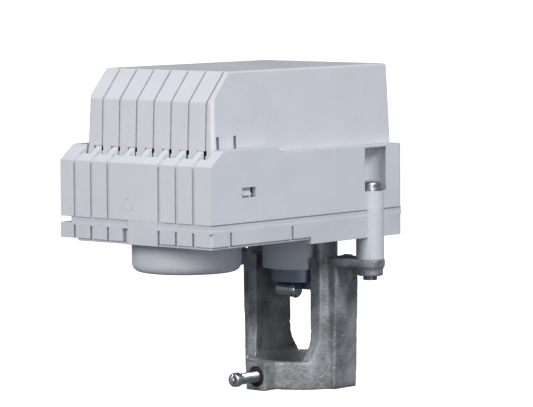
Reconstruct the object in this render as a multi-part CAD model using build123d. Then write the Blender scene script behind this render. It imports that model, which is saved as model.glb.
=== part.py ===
from build123d import *
import math
import os

# Motorized linear valve actuator, millimetres, +Z up.
# Origin: centre of the valve-neck bore at the bottom face of the yoke; the spindle runs along Z.

# ---- housing outline ----
HOUSING_LEFT = -129.7
HOUSING_HALF_W = 52.2
WALL = 2.5
CORNER_R = 3.5
Z_SEAM = 96.6
WALL_H = 33.6
SHELF_T = 1.5
SHOULDER_Z = Z_SEAM + 29.1
RAISED_H = 3.2
RAISED_END_X = -79.2
RAISED_RAMP = 5.2
FLANGE_T = 2.0
FLANGE_LAP = 2.0
Z_WALL = Z_SEAM + WALL_H

# ---- ribbed end of the lower housing ----
RIB_COUNT = 8
RIB_FIRST_IN = 9.2
RIB_LAST_IN = 12.95
RIB_PLAIN = (3, 4)
RIB_GROOVE_W = 2.0
RIB_GROOVE_D = 1.1
FIN_W = 3.5
FIN_RISE = 7.2
LEDGE_RUN = 4.5
POCKET_DEPTH = 9.0

# ---- top cover ----
COVER_INSET_FRONT = 6.9
COVER_INSET_BACK = 10.1
COVER_INSET_LEFT = 9.5
COVER_INSET_RIGHT = 2.6
COVER_H = 42.3
COVER_DRAFT = 2.0
COVER_CHAMFER_RUN = 13.0
COVER_CHAMFER_H = 15.0
COVER_EDGE_R = 2.0
COVER_GROOVE_W = 1.4
COVER_GROOVE_D = 0.9
COVER_GROOVE_FIRST_IN = 10.9
COVER_GROOVE_LAST_IN = 5.1
COVER_GROOVE_COUNT = 7
TAB_W = 6.2
TAB_DROP = 2.4
NOTCH_H = 2.7
VENT_W = 2.1
VENT_H = 6.6
VENT_OFFSETS = (3.8, 16.8)
COVER_LIFT_GAP = 0.3
SEAL_W = 1.5
SEAL_H = 1.6

# ---- base plate ----
BASE_BAND_H = 3.2
BASE_BAND_INSET = 0.8
BASE_BAND_INSET_BACK = 7.0
BASE_SLAB_H = 7.9
BASE_STEP_X = -52.6
BASE_STEP_H = 3.6
BASE_LIP_H = 1.3
BASE_FLOOR = 2.5
BASE_GROOVE_W = 1.4
BASE_GROOVE_D = 1.4
FRONT_GROOVES_X = (-114.8, -67.3)
PAD_HALF_W = 10.2
PAD_Y = -5.4

# ---- motor cup and motor ----
MOTOR_X = -90.5
CUP_WALL = 2.4
CUP_GAP = 1.0
CUP_BOTTOM_Z = 68.0
CUP_FILLET = 4.6
MOTOR_R = 25.0
MOTOR_H = 23.0
MOTOR_SHAFT_R = 2.0
MOTOR_NOSE_R = 5.0
MOTOR_SHAFT_SEAT = 8.0

# ---- screws that hold yoke, base and lower housing together ----
BOSS_IN = 3.8
BOSS_R = 7.4
SCREW_R = 3.0
SCREW_CLEARANCE = 0.3
SCREW_SEAT_Z = 106.2
WASHER_R = 6.9
WASHER_T = 1.4
HEAD_R = 5.9
HEAD_H = 3.6
HEAD_DRIVE_AF = 4.0
CHANNEL_R = 9.5
CHANNEL_WALL = 1.8
CHANNEL_LID = 1.0
INSERT_WALL = 0.7
INSERT_STICK_OUT = 2.2

# ---- yoke ----
YOKE_TOP_Z = 70.0
YOKE_IN_R = 23.5
YOKE_OUT_R = 29.0
COLLAR_H = 14.8
NECK_BORE_R = 24.0
NECK_BORE_H = 17.0
LEG_HALF_W = 14.0
LEG_FLARE_W = 4.4
LEG_FLARE_H = 17.2
FACE_HALF_W = 9.4
FACE_TOP_Y = 33.0
FACE_BOTTOM_Y = 31.3
EAR_T = 4.2
EAR_HALF_W = 10.0
EAR_R = 7.9
EAR_BOSS_R = 6.9
EAR_BOSS_H = 4.6
GUSSET_H = 18.6
GUSSET_OUT = 8.0
GUSSET_HALF_W = 9.3
TAB_X = (-14.0, -2.9)
LUG_X = -37.1
LUG_HALF_W = 6.8
LUG_HOLE_R = 5.2
LUG_HOLE_DEPTH = 4.0
LEG_GROOVE_W = 2.4
LEG_GROOVE_D = 1.6

# ---- neck screw ----
NECK_SCREW_R = 3.0
NECK_SCREW_Z = 7.2
NECK_SCREW_OUT = 13.9
NECK_HEAD_R = 3.75
NECK_HEAD_L = 3.8
SLOT_W = 1.2
SLOT_D = 1.6
TIP_GAP = 0.6

# ---- spindle drive ----
NECK_TUBE_WALL = 2.6
NECK_TUBE_BOTTOM_Z = 63.1
BUSH_WALL = 1.9
COUPLING_R = 15.7
COUPLING_BOTTOM_Z = 51.5
COUPLING_TOP_Z = 89.4
COUPLING_STEP_X = -4.6
COUPLING_STEP_H = 4.4
STEM_SOCKET_R = 5.1
STEM_SOCKET_DEPTH = 14.0
KEY_HALF_W = 2.0
KEY_OUT = 1.0
SPINDLE_R = 4.0
SPINDLE_SEAT = 8.0
SPINDLE_TOP_Z = 143.5
LOCK_PIN_R = 3.9
LOCK_PIN_X = -9.3
LOCK_PIN_HALF_L = 6.5
LOCK_CLIP_T = 1.0
LOCK_CLIP_R = 4.3
RUN = 0.05
NUT_WALL = 3.0
TOP_BUSH_WALL = 1.5
TOP_BUSH_FLANGE = 2.0
TOP_BUSH_FLANGE_T = 1.2

# ---- gears ----
FINE_MODULE = 0.8
COARSE_MODULE = 1.0
PINION_TEETH = 14
WHEEL_1_TEETH = 64
PINION_1_TEETH = 14
WHEEL_2_TEETH = 46
PINION_2_TEETH = 24
DRIVE_TEETH = 36
PRESSURE_ANGLE = 20.0
ADDENDUM = 0.88
DEDENDUM = 1.25
BACKLASH = 0.12
GEAR_W = 4.5
LAYER_GAP = 1.0
AXLE_R = 1.5
HUB_R = 2.9
HUB_PLAY = 0.3
GEAR_2_ANGLE = 176.0

# ---- bearing and plates ----
BEARING_Z = 90.0
BEARING_H = 7.0
BEARING_IN_R = 12.5
BEARING_OUT_R = 18.5
BEARING_SEAT_WALL = 1.7
SEAT_TO_END = 3.0
BALL_COUNT = 12
BALL_R = 1.75
RACE_SHOULDER = 0.6
PLATE_T = 2.0
GEAR_PLATE_Z = 94.0
PLATE_IN_LEFT = 11.7
PLATE_IN_RIGHT = 7.2
PLATE_BOSS_GAP = 16.6
POST_R = 3.5
POST_IN_LEFT = 6.0
POST_IN_RIGHT = 8.0
POST_IN_SIDE = 5.0
POST_SCREW_R = 1.5
POST_HEAD_R = 2.9
POST_HEAD_H = 1.8

# ---- electronics ----
BOARD_LEFT = -112.0
BOARD_RIGHT = -20.0
BOARD_SIDE_GAP = 4.0
BOARD_T = 1.6
BOARD_Z = 124.5
STANDOFF_R = 2.6
STANDOFF_IN_X = 8.0
STANDOFF_IN_Y = 9.0
TERMINAL_POLES = 6
TERMINAL_PITCH = 6.2
TERMINAL_D = 9.0
TERMINAL_H = 12.0
TERMINAL_LEFT = -90.0
TERMINAL_IN = 1.0
TERMINAL_SCREW_R = 2.0
CAPACITOR_R = 9.0
CAPACITOR_L = 30.0
CAPACITOR_LEFT = -100.0
CAPACITOR_Y = -18.0
SWITCH_SIZE = (7.0, 20.0, 10.0)
SWITCH_GAP = 0.6
SWITCH_HOLE_R = 1.2
SWITCH_HOLE_IN = 3.0
SHEET_T = 1.0
SWITCH_ZS = (118.0, 134.5)
CAM_R = 8.5
CAM_H = 3.0

# ---- cable entries in the back wall ----
ENTRY_XS = (-78.0, -44.0)
ENTRY_Z = 112.5
ENTRY_R = 8.1
ENTRY_BOSS_R = 11.0
ENTRY_BOSS_T = 2.0

# ---- cover latch ----
LATCH_X = -101.0
LATCH_HALF_W = 5.2
LATCH_Z = 109.1
LATCH_H = 5.1

# ---- derived places ----
HOUSING_RIGHT = BEARING_OUT_R + BEARING_SEAT_WALL + SEAT_TO_END
COVER_LEFT = HOUSING_LEFT + COVER_INSET_LEFT
COVER_RIGHT = HOUSING_RIGHT - COVER_INSET_RIGHT
COVER_HALF_W = HOUSING_HALF_W - (COVER_INSET_FRONT + COVER_INSET_BACK) / 2
COVER_Y = (COVER_INSET_FRONT - COVER_INSET_BACK) / 2
OPENING_LEFT = COVER_LEFT + WALL + COVER_LIFT_GAP + SEAL_W
OPENING_RIGHT = COVER_RIGHT - WALL - COVER_LIFT_GAP - SEAL_W
OPENING_HALF_W = COVER_HALF_W - WALL - COVER_LIFT_GAP - SEAL_W
RIB_FIRST_Y = HOUSING_HALF_W - RIB_FIRST_IN
RIB_PITCH = (2 * HOUSING_HALF_W - RIB_FIRST_IN - RIB_LAST_IN) / (RIB_COUNT - 1)
COVER_GROOVE_FIRST_Y = COVER_Y + COVER_HALF_W - COVER_GROOVE_FIRST_IN
COVER_GROOVE_SPAN = 2 * COVER_HALF_W - COVER_GROOVE_FIRST_IN - COVER_GROOVE_LAST_IN
COVER_GROOVE_PITCH = COVER_GROOVE_SPAN / (COVER_GROOVE_COUNT - 1)
CUP_R = MOTOR_R + CUP_GAP + CUP_WALL
BOSS_Y = HOUSING_HALF_W - BOSS_IN
INSERT_R = SCREW_R + INSERT_WALL
BUSH_R = COUPLING_R + BUSH_WALL
NECK_TUBE_R = BUSH_R + NECK_TUBE_WALL
NUT_R = SPINDLE_R + NUT_WALL
TOP_BUSH_R = SPINDLE_R + TOP_BUSH_WALL
BEARING_SEAT_R = BEARING_OUT_R + BEARING_SEAT_WALL
BEARING_PITCH_R = (BEARING_IN_R + BEARING_OUT_R) / 2
RACE_T = (BEARING_OUT_R - BEARING_IN_R) / 2 - BALL_R - RUN
PLATE_LEFT = HOUSING_LEFT + PLATE_IN_LEFT
PLATE_RIGHT = HOUSING_RIGHT - PLATE_IN_RIGHT
PLATE_HALF_W = BOSS_Y - PLATE_BOSS_GAP
POST_XS = (PLATE_LEFT + POST_IN_LEFT, PLATE_RIGHT - POST_IN_RIGHT)
POST_YS = (-PLATE_HALF_W + POST_IN_SIDE, PLATE_HALF_W - POST_IN_SIDE)
POSTS = [(x, y) for x in POST_XS for y in POST_YS]
BOARD_HALF_W = OPENING_HALF_W - BOARD_SIDE_GAP
STANDOFF_XS = (BOARD_LEFT + STANDOFF_IN_X, BOARD_RIGHT - STANDOFF_IN_X)
BOARD_FRONT = COVER_Y - BOARD_HALF_W
BOARD_BACK = COVER_Y + BOARD_HALF_W
STANDOFF_YS = (BOARD_FRONT + STANDOFF_IN_Y, BOARD_BACK - STANDOFF_IN_Y)
STANDOFFS = [(x, y) for x in STANDOFF_XS for y in STANDOFF_YS]
Z_BAND = Z_SEAM - BASE_BAND_H
Z_SLAB = Z_BAND - BASE_SLAB_H
Z_STEP = Z_SLAB - BASE_STEP_H
MOTOR_Z = GEAR_PLATE_Z - MOTOR_H
LAYER_1 = BEARING_Z + BEARING_H + 0.6
LAYER_2 = LAYER_1 + GEAR_W + LAYER_GAP
LAYER_3 = LAYER_2 + GEAR_W + LAYER_GAP
GEARS_TOP = LAYER_3 + GEAR_W
BRIDGE_Z = GEARS_TOP + 1.5
BRIDGE_TOP = BRIDGE_Z + PLATE_T
BESIDE_COVER = COVER_HALF_W + COVER_LIFT_GAP
FACES = (-1, 1)


def block(x0, x1, y0, y1, z0, z1):
    """Box between two corners."""
    size = Box(x1 - x0, y1 - y0, z1 - z0)
    return size.moved(Location(((x0 + x1) / 2, (y0 + y1) / 2, (z0 + z1) / 2)))


def rod(radius, z0, z1, x=0.0, y=0.0):
    """Upright cylinder."""
    return Cylinder(radius, z1 - z0).moved(Location((x, y, (z0 + z1) / 2)))


def rod_x(radius, x0, x1, y, z):
    """Cylinder lying along X."""
    return Cylinder(radius, x1 - x0).moved(Location(((x0 + x1) / 2, y, z), (0, 90, 0)))


def rod_y(radius, y0, y1, x, z):
    """Cylinder lying along Y."""
    return Cylinder(radius, y1 - y0).moved(Location((x, (y0 + y1) / 2, z), (90, 0, 0)))


def side_prism(points, y0, y1):
    """Outline in X and Z, stretched from y0 to y1."""
    wire = Polyline(*[(x, y1, z) for x, z in points], close=True)
    return extrude(make_face(wire), amount=y1 - y0, dir=(0, -1, 0))


def cross_prism(points, x0, x1):
    """Outline in Y and Z, stretched from x0 to x1."""
    wire = Polyline(*[(x0, y, z) for y, z in points], close=True)
    return extrude(make_face(wire), amount=x1 - x0, dir=(1, 0, 0))


def plan_prism(points, z0, z1):
    """Outline in X and Y, stretched from z0 to z1."""
    wire = Polyline(*[(x, y, z0) for x, y in points], close=True)
    return extrude(make_face(wire), amount=z1 - z0, dir=(0, 0, 1))


def join(shapes):
    """Union of a list of shapes."""
    total = shapes[0]
    for shape in shapes[1:]:
        total = total + shape
    return total


# ---------------- housing shells ----------------

def rib_y(index):
    """Y of the lower housing's rib line number index."""
    return RIB_FIRST_Y - RIB_PITCH * index


def shoulder_z(x):
    """Height of the sloping shoulder at x."""
    fin_run = COVER_LEFT - COVER_LIFT_GAP - HOUSING_LEFT
    return SHOULDER_Z + FIN_RISE * (x - HOUSING_LEFT) / fin_run


def make_ribbed_end():
    """Ledge, fins, pocket floor and back wall at the left end of the lower housing."""
    low = SHOULDER_Z - POCKET_DEPTH + 2.0
    ledge_x = HOUSING_LEFT + LEDGE_RUN
    fin_x = COVER_LEFT - COVER_LIFT_GAP
    back_x = COVER_LEFT + WALL + COVER_LIFT_GAP
    ledge = side_prism([(HOUSING_LEFT, low), (HOUSING_LEFT, SHOULDER_Z),
                        (ledge_x, shoulder_z(ledge_x)), (ledge_x, low)],
                       -HOUSING_HALF_W, HOUSING_HALF_W)
    floor = block(HOUSING_LEFT, OPENING_LEFT, -HOUSING_HALF_W, HOUSING_HALF_W, low, low + SHELF_T)
    back = block(back_x, OPENING_LEFT, -HOUSING_HALF_W, HOUSING_HALF_W, low, Z_WALL)
    fin_outline = [(HOUSING_LEFT, low), (HOUSING_LEFT, SHOULDER_Z),
                   (fin_x, shoulder_z(fin_x)), (fin_x, low)]
    fins = [side_prism(fin_outline, rib_y(i), rib_y(i) + FIN_W) for i in range(RIB_COUNT)]
    corner_outline = [(HOUSING_LEFT, low), (HOUSING_LEFT, SHOULDER_Z), (fin_x, shoulder_z(fin_x)),
                      (OPENING_LEFT, shoulder_z(fin_x)), (OPENING_LEFT, low)]
    corners = [side_prism(fin_outline, RIB_FIRST_Y, HOUSING_HALF_W),
               side_prism(corner_outline, COVER_Y + BESIDE_COVER, HOUSING_HALF_W),
               side_prism(corner_outline, -HOUSING_HALF_W, COVER_Y - BESIDE_COVER)]
    return join([ledge, floor, back] + fins + corners)


def make_lower_housing():
    """Ring-shaped shell with the screw channels, the ribbed end and the latch window."""
    outer = block(HOUSING_LEFT, HOUSING_RIGHT, -HOUSING_HALF_W, HOUSING_HALF_W, Z_SEAM, Z_WALL)
    right_edges = outer.edges().filter_by(Axis.Z).sort_by(Axis.X)[-2:]
    outer = fillet(right_edges, CORNER_R)
    outer = outer - block(HOUSING_LEFT - 1, OPENING_LEFT - SHELF_T, -HOUSING_HALF_W - 1,
                          HOUSING_HALF_W + 1, SHOULDER_Z, Z_WALL + 1)
    cavity = block(HOUSING_LEFT + WALL, HOUSING_RIGHT - WALL, -HOUSING_HALF_W + WALL,
                   HOUSING_HALF_W - WALL, Z_SEAM - 1, Z_WALL - SHELF_T)
    opening = block(OPENING_LEFT, OPENING_RIGHT, COVER_Y - OPENING_HALF_W, COVER_Y + OPENING_HALF_W,
                    Z_WALL - SHELF_T - 1, Z_WALL + 1)
    shell = outer - cavity - opening + make_ribbed_end()
    raised_outline = [(OPENING_LEFT - 4, Z_WALL - 1), (OPENING_LEFT - 4, Z_WALL + RAISED_H),
                      (RAISED_END_X, Z_WALL + RAISED_H), (RAISED_END_X + RAISED_RAMP, Z_WALL - 1)]
    shell = shell + side_prism(raised_outline, -HOUSING_HALF_W, COVER_Y - BESIDE_COVER)
    shell = shell + side_prism(raised_outline, COVER_Y + BESIDE_COVER, HOUSING_HALF_W)
    flange_y = HOUSING_HALF_W - BASE_BAND_INSET_BACK - FLANGE_LAP
    shell = shell + block(HOUSING_LEFT + 1, HOUSING_RIGHT - 1, flange_y, HOUSING_HALF_W - 1,
                          Z_SEAM, Z_SEAM + FLANGE_T)
    for side in FACES:
        inside = block(-20, 20, -HOUSING_HALF_W, HOUSING_HALF_W, Z_SEAM, Z_WALL)
        wall = rod(CHANNEL_R + CHANNEL_WALL, Z_SEAM, Z_WALL, 0, side * BOSS_Y) & inside
        shell = shell + wall
        shell = shell - rod(CHANNEL_R, SCREW_SEAT_Z, Z_WALL - CHANNEL_LID, 0, side * BOSS_Y)
        shell = shell + rod(BOSS_R, Z_SEAM, SCREW_SEAT_Z, 0, side * BOSS_Y)
        shell = shell - rod(SCREW_R + SCREW_CLEARANCE, Z_SEAM - 1, SCREW_SEAT_Z + 1, 0, side * BOSS_Y)
    ledge_x = HOUSING_LEFT + LEDGE_RUN
    groove_outline = [(HOUSING_LEFT - 1, Z_SEAM - 1), (HOUSING_LEFT + RIB_GROOVE_D, Z_SEAM - 1),
                      (HOUSING_LEFT + RIB_GROOVE_D, SHOULDER_Z - RIB_GROOVE_D / 2),
                      (ledge_x, shoulder_z(ledge_x) - RIB_GROOVE_D), (ledge_x, Z_WALL),
                      (HOUSING_LEFT - 1, Z_WALL)]
    for i in range(RIB_COUNT):
        if i not in RIB_PLAIN:
            shell = shell - side_prism(groove_outline, rib_y(i) - RIB_GROOVE_W, rib_y(i))
    window = block(LATCH_X - LATCH_HALF_W, LATCH_X + LATCH_HALF_W, -HOUSING_HALF_W - 1,
                   -HOUSING_HALF_W + WALL + 1, LATCH_Z, LATCH_Z + LATCH_H)
    shell = shell - window
    for x in ENTRY_XS:
        boss = rod_y(ENTRY_BOSS_R, HOUSING_HALF_W - WALL - ENTRY_BOSS_T, HOUSING_HALF_W, x, ENTRY_Z)
        shell = shell + boss
        shell = shell - rod_y(ENTRY_R, HOUSING_HALF_W - 9, HOUSING_HALF_W + 1, x, ENTRY_Z)
    return shell


def cover_form(inset, end_inset, top_inset):
    """Drafted block with the sloping left end; the insets shrink it on the sides, end and top."""
    left = COVER_LEFT + inset + end_inset
    right = COVER_RIGHT - inset
    half_w = COVER_HALF_W - inset
    height = COVER_H - top_inset
    centre = Location(((left + right) / 2, COVER_Y, Z_WALL))
    form = extrude(centre * Rectangle(right - left, 2 * half_w), amount=height, taper=COVER_DRAFT)
    top_z = Z_WALL + height
    lean = math.tan(math.radians(COVER_DRAFT)) * (height - COVER_CHAMFER_H)
    slope = [(left - 5, top_z - COVER_CHAMFER_H), (left + lean, top_z - COVER_CHAMFER_H),
             (left + lean + COVER_CHAMFER_RUN, top_z), (left + lean + COVER_CHAMFER_RUN, top_z + 5),
             (left - 5, top_z + 5)]
    return form - side_prism(slope, COVER_Y - half_w - 5, COVER_Y + half_w + 5)


def make_top_cover():
    """Upper shell: drafted walls, sloping grooved end, castellated foot and vent slots."""
    outer = cover_form(0, 0, 0)
    inner = cover_form(WALL, 0, WALL)
    core = cover_form(0, COVER_GROOVE_D, COVER_GROOVE_D)
    groove_zone = outer - core
    top_edges = [e for e in outer.edges() if e.center().Z > Z_WALL + COVER_H - 0.1]
    shell = fillet(top_edges, 1.2)
    end_edges = [e for e in shell.edges() if e.bounding_box().max.X < COVER_LEFT + 2.0]
    shell = fillet([e for e in end_edges if e.bounding_box().max.Z > Z_WALL + 1], COVER_EDGE_R) - inner
    lines = [COVER_GROOVE_FIRST_Y - COVER_GROOVE_PITCH * i for i in range(COVER_GROOVE_COUNT)]
    run = COVER_LEFT + COVER_CHAMFER_RUN + 3.0
    for y in lines:
        slab = block(COVER_LEFT - 2, run, y - COVER_GROOVE_W / 2, y + COVER_GROOVE_W / 2,
                     Z_WALL - 1, Z_WALL + COVER_H + 1)
        shell = shell - (groove_zone & slab)
    tabs = [COVER_GROOVE_FIRST_Y + COVER_GROOVE_PITCH] + lines
    front_y = COVER_Y - COVER_HALF_W
    back_y = COVER_Y + COVER_HALF_W
    for y in tabs:
        low_y = max(y - TAB_W, front_y + 1.0)
        high_y = min(y, back_y - 1.0)
        shell = shell + block(COVER_LEFT, COVER_LEFT + WALL, low_y, high_y, Z_WALL - TAB_DROP, Z_WALL + 0.5)
        notch_low = max(y - COVER_GROOVE_PITCH, front_y + WALL)
        if notch_low < low_y - 0.5:
            shell = shell - block(COVER_LEFT - 1, COVER_LEFT + WALL + 1, notch_low, low_y,
                                  Z_WALL - 1, Z_WALL + NOTCH_H)
    for offset in VENT_OFFSETS:
        x = COVER_LEFT + offset
        shell = shell - block(x - VENT_W / 2, x + VENT_W / 2, -HOUSING_HALF_W, HOUSING_HALF_W,
                              Z_WALL + 3.2, Z_WALL + 3.2 + VENT_H)
    return shell


def make_base_plate():
    """Base tray with the motor cup, the spindle neck and two screw bosses."""
    slab = block(HOUSING_LEFT, HOUSING_RIGHT, -HOUSING_HALF_W, HOUSING_HALF_W, Z_SLAB, Z_BAND)
    deep = block(BASE_STEP_X, HOUSING_RIGHT, -HOUSING_HALF_W, HOUSING_HALF_W, Z_STEP, Z_BAND)
    solid = slab + deep
    right_edges = [e for e in solid.edges().filter_by(Axis.Z) if e.center().X > HOUSING_RIGHT - 0.1]
    solid = fillet(right_edges, CORNER_R)
    band = block(HOUSING_LEFT + BASE_BAND_INSET, HOUSING_RIGHT - BASE_BAND_INSET,
                 -HOUSING_HALF_W + BASE_BAND_INSET, HOUSING_HALF_W - BASE_BAND_INSET_BACK,
                 Z_BAND - 1, Z_SEAM)
    lip = block(HOUSING_LEFT + 1.0, BASE_STEP_X + 1, -HOUSING_HALF_W + 1.0, HOUSING_HALF_W - 11.5,
                Z_SLAB - BASE_LIP_H, Z_SLAB + 1)
    solid = solid + band + lip
    for i in range(RIB_COUNT + 1):
        if i in RIB_PLAIN:
            continue
        y = rib_y(i)
        solid = solid - block(HOUSING_LEFT - 1, HOUSING_LEFT + BASE_GROOVE_D, y - BASE_GROOVE_W, y,
                              Z_SLAB - 0.5, Z_BAND - 1.2)
    solid = solid - block(HOUSING_LEFT - 1, HOUSING_LEFT + BASE_GROOVE_D + 1.2, PAD_Y + PAD_HALF_W,
                          PAD_Y + PAD_HALF_W + 3.7, Z_SLAB - 0.5, Z_BAND - 1.2)
    solid = solid + block(HOUSING_LEFT, HOUSING_LEFT + 3, PAD_Y - PAD_HALF_W, PAD_Y + PAD_HALF_W,
                          Z_SLAB - BASE_LIP_H, Z_SEAM)
    for x in FRONT_GROOVES_X:
        solid = solid - block(x - BASE_GROOVE_W / 2, x + BASE_GROOVE_W / 2, -HOUSING_HALF_W - 1,
                              -HOUSING_HALF_W + BASE_GROOVE_D, Z_SLAB - 0.5, Z_BAND - 1.2)
    cup = rod(CUP_R, CUP_BOTTOM_Z, Z_SLAB + 1, MOTOR_X)
    cup = fillet(cup.edges().sort_by(Axis.Z)[0], CUP_FILLET)
    neck = rod(NECK_TUBE_R, NECK_TUBE_BOTTOM_Z, Z_SLAB + 2)
    bosses = [rod(BOSS_R, YOKE_TOP_Z, Z_SEAM, 0, side * BOSS_Y) for side in FACES]
    solid = join([solid, cup, neck] + bosses)
    pocket = block(HOUSING_LEFT + 2 * WALL, HOUSING_RIGHT - 2 * WALL, -HOUSING_HALF_W + 2 * WALL,
                   HOUSING_HALF_W - BASE_BAND_INSET_BACK - WALL, Z_SLAB + BASE_FLOOR, Z_SEAM + 1)
    keep = join([rod(BOSS_R, Z_SLAB, Z_SEAM, 0, side * BOSS_Y) for side in FACES]
                + [rod(BEARING_SEAT_R, Z_SLAB, BEARING_Z + BEARING_H)]
                + [rod(POST_R, Z_SLAB, GEAR_PLATE_Z, x, y) for x, y in POSTS])
    solid = solid - pocket + keep
    solid = solid - rod(CUP_R - CUP_WALL, CUP_BOTTOM_Z + CUP_WALL, Z_SEAM + 1, MOTOR_X)
    solid = solid - rod(BUSH_R, NECK_TUBE_BOTTOM_Z - 1, BEARING_Z + 1)
    solid = solid - rod(BEARING_OUT_R, BEARING_Z, BEARING_Z + BEARING_H + 1)
    for side in FACES:
        solid = solid - rod(SCREW_R + SCREW_CLEARANCE, YOKE_TOP_Z - 1, Z_SEAM + 1, 0, side * BOSS_Y)
    for x, y in POSTS:
        solid = solid - rod(POST_SCREW_R, GEAR_PLATE_Z - 6, GEAR_PLATE_Z + 1, x, y)
    return solid


def make_cover_seal():
    """Rubber ring on the shelf, just inside the cover's foot."""
    ring = block(OPENING_LEFT - SEAL_W, OPENING_RIGHT + SEAL_W, COVER_Y - OPENING_HALF_W - SEAL_W,
                 COVER_Y + OPENING_HALF_W + SEAL_W, Z_WALL, Z_WALL + SEAL_H)
    return ring - block(OPENING_LEFT, OPENING_RIGHT, COVER_Y - OPENING_HALF_W, COVER_Y + OPENING_HALF_W,
                        Z_WALL - 1, Z_WALL + SEAL_H + 1)


def make_cover_latch():
    """Spring-steel tongue behind the latch window."""
    y0 = -HOUSING_HALF_W + WALL
    strip = block(LATCH_X - 4.0, LATCH_X + 4.0, y0, y0 + 0.8, LATCH_Z - 6, LATCH_Z + LATCH_H + 8)
    nose = cross_prism([(y0 + 0.4, LATCH_Z + 0.5), (y0 - 1.9, LATCH_Z + 0.9),
                        (y0 - 1.9, LATCH_Z + 1.8), (y0 + 0.4, LATCH_Z + 4.0)],
                       LATCH_X - 4.0, LATCH_X + 2.5)
    return strip + nose


def make_entry_plug():
    """Blanking plug of the first cable entry."""
    x = ENTRY_XS[0]
    shank = rod_y(ENTRY_R - RUN, HOUSING_HALF_W - WALL - ENTRY_BOSS_T - 2, HOUSING_HALF_W, x, ENTRY_Z)
    head = rod_y(ENTRY_BOSS_R - 0.8, HOUSING_HALF_W, HOUSING_HALF_W + 2.0, x, ENTRY_Z)
    slot = block(x - 6, x + 6, HOUSING_HALF_W + 1, HOUSING_HALF_W + 3, ENTRY_Z - 0.8, ENTRY_Z + 0.8)
    return shank + head - slot


# ---------------- yoke and its screws ----------------

def leg_profile():
    """Side view of the legs: an arc flares each edge out to the collar."""
    wide = LEG_HALF_W + LEG_FLARE_W
    flare_top = COLLAR_H + LEG_FLARE_H
    arc_r = (LEG_FLARE_W ** 2 + LEG_FLARE_H ** 2) / (2 * LEG_FLARE_W)
    turn = math.asin(LEG_FLARE_H / arc_r) / 2
    mid_x = LEG_HALF_W + arc_r * (1 - math.cos(turn))
    mid_z = flare_top - arc_r * math.sin(turn)
    y = 40.0
    right = ThreePointArc((wide, y, COLLAR_H), (mid_x, y, mid_z), (LEG_HALF_W, y, flare_top))
    left = ThreePointArc((-LEG_HALF_W, y, flare_top), (-mid_x, y, mid_z), (-wide, y, COLLAR_H))
    top = Polyline((LEG_HALF_W, y, flare_top), (LEG_HALF_W, y, YOKE_TOP_Z),
                   (-LEG_HALF_W, y, YOKE_TOP_Z), (-LEG_HALF_W, y, flare_top))
    bottom = Line((-wide, y, COLLAR_H), (wide, y, COLLAR_H))
    edges = right.edges() + top.edges() + left.edges() + bottom.edges()
    return extrude(make_face(edges), amount=2 * y, dir=(0, -1, 0))


def make_yoke():
    """Die-cast yoke: collar with a clamp lug, two legs, two ears with gussets."""
    collar = rod(YOKE_OUT_R, 0, COLLAR_H)
    tube = rod(YOKE_OUT_R, 0, YOKE_TOP_Z)
    legs = tube & leg_profile()
    tabs = [block(TAB_X[0], TAB_X[1], side * (YOKE_OUT_R - 3.6) - 2.4, side * (YOKE_OUT_R - 3.6) + 2.4,
                  YOKE_TOP_Z - 4, Z_STEP) & rod(YOKE_OUT_R, YOKE_TOP_Z - 5, Z_STEP + 1)
            for side in FACES]
    solid = join([collar, legs] + tabs)
    for side in FACES:
        face = cross_prism([(side * 20, 0), (side * FACE_BOTTOM_Y, 0), (side * FACE_TOP_Y, YOKE_TOP_Z),
                            (side * 20, YOKE_TOP_Z)], -FACE_HALF_W, FACE_HALF_W)
        solid = solid + face
        ear = plan_prism([(-EAR_HALF_W, side * 26), (-EAR_HALF_W, side * FACE_TOP_Y),
                          (-EAR_R, side * BOSS_Y), (EAR_R, side * BOSS_Y),
                          (EAR_HALF_W, side * FACE_TOP_Y), (EAR_HALF_W, side * 26)],
                         YOKE_TOP_Z - EAR_T, YOKE_TOP_Z)
        solid = solid + ear + rod(EAR_R, YOKE_TOP_Z - EAR_T, YOKE_TOP_Z, 0, side * BOSS_Y)
        solid = solid + rod(EAR_BOSS_R, YOKE_TOP_Z - EAR_T - EAR_BOSS_H, YOKE_TOP_Z - EAR_T, 0, side * BOSS_Y)
        solid = solid + make_gusset(side)
    lug = block(LUG_X, -YOKE_OUT_R + 3, -LUG_HALF_W, LUG_HALF_W, 0, COLLAR_H)
    solid = solid + lug
    solid = solid - rod(YOKE_IN_R, -1, Z_STEP + 1) - rod(NECK_BORE_R, -1, NECK_BORE_H)
    solid = solid - rod_x(LUG_HOLE_R, LUG_X - 1, LUG_X + LUG_HOLE_DEPTH, 0, NECK_SCREW_Z)
    solid = solid - rod_x(NECK_SCREW_R + RUN, LUG_X - 1, -NECK_BORE_R + 2, 0, NECK_SCREW_Z)
    groove_y = YOKE_IN_R
    solid = solid - block(-LEG_HALF_W - 1, -LEG_HALF_W + LEG_GROOVE_D, groove_y, groove_y + LEG_GROOVE_W,
                          COLLAR_H + LEG_FLARE_H, YOKE_TOP_Z - EAR_T)
    for side in FACES:
        solid = solid - rod(INSERT_R, YOKE_TOP_Z - EAR_T - EAR_BOSS_H - 1, YOKE_TOP_Z + 1, 0, side * BOSS_Y)
    return solid


def make_gusset(side):
    """Pointed gusset under one ear."""
    top = YOKE_TOP_Z - EAR_T + 0.5
    face_y = side * (FACE_TOP_Y - 1.2)
    corners = [(-GUSSET_HALF_W, face_y, top), (GUSSET_HALF_W, face_y, top),
               (0, face_y + side * GUSSET_OUT, top), (0, face_y, top - GUSSET_H)]
    faces = []
    for skip in range(4):
        points = [c for i, c in enumerate(corners) if i != skip]
        faces.append(Face(Wire.make_polygon([Vector(*p) for p in points], close=True)))
    return Solid(Shell(faces))


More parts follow.
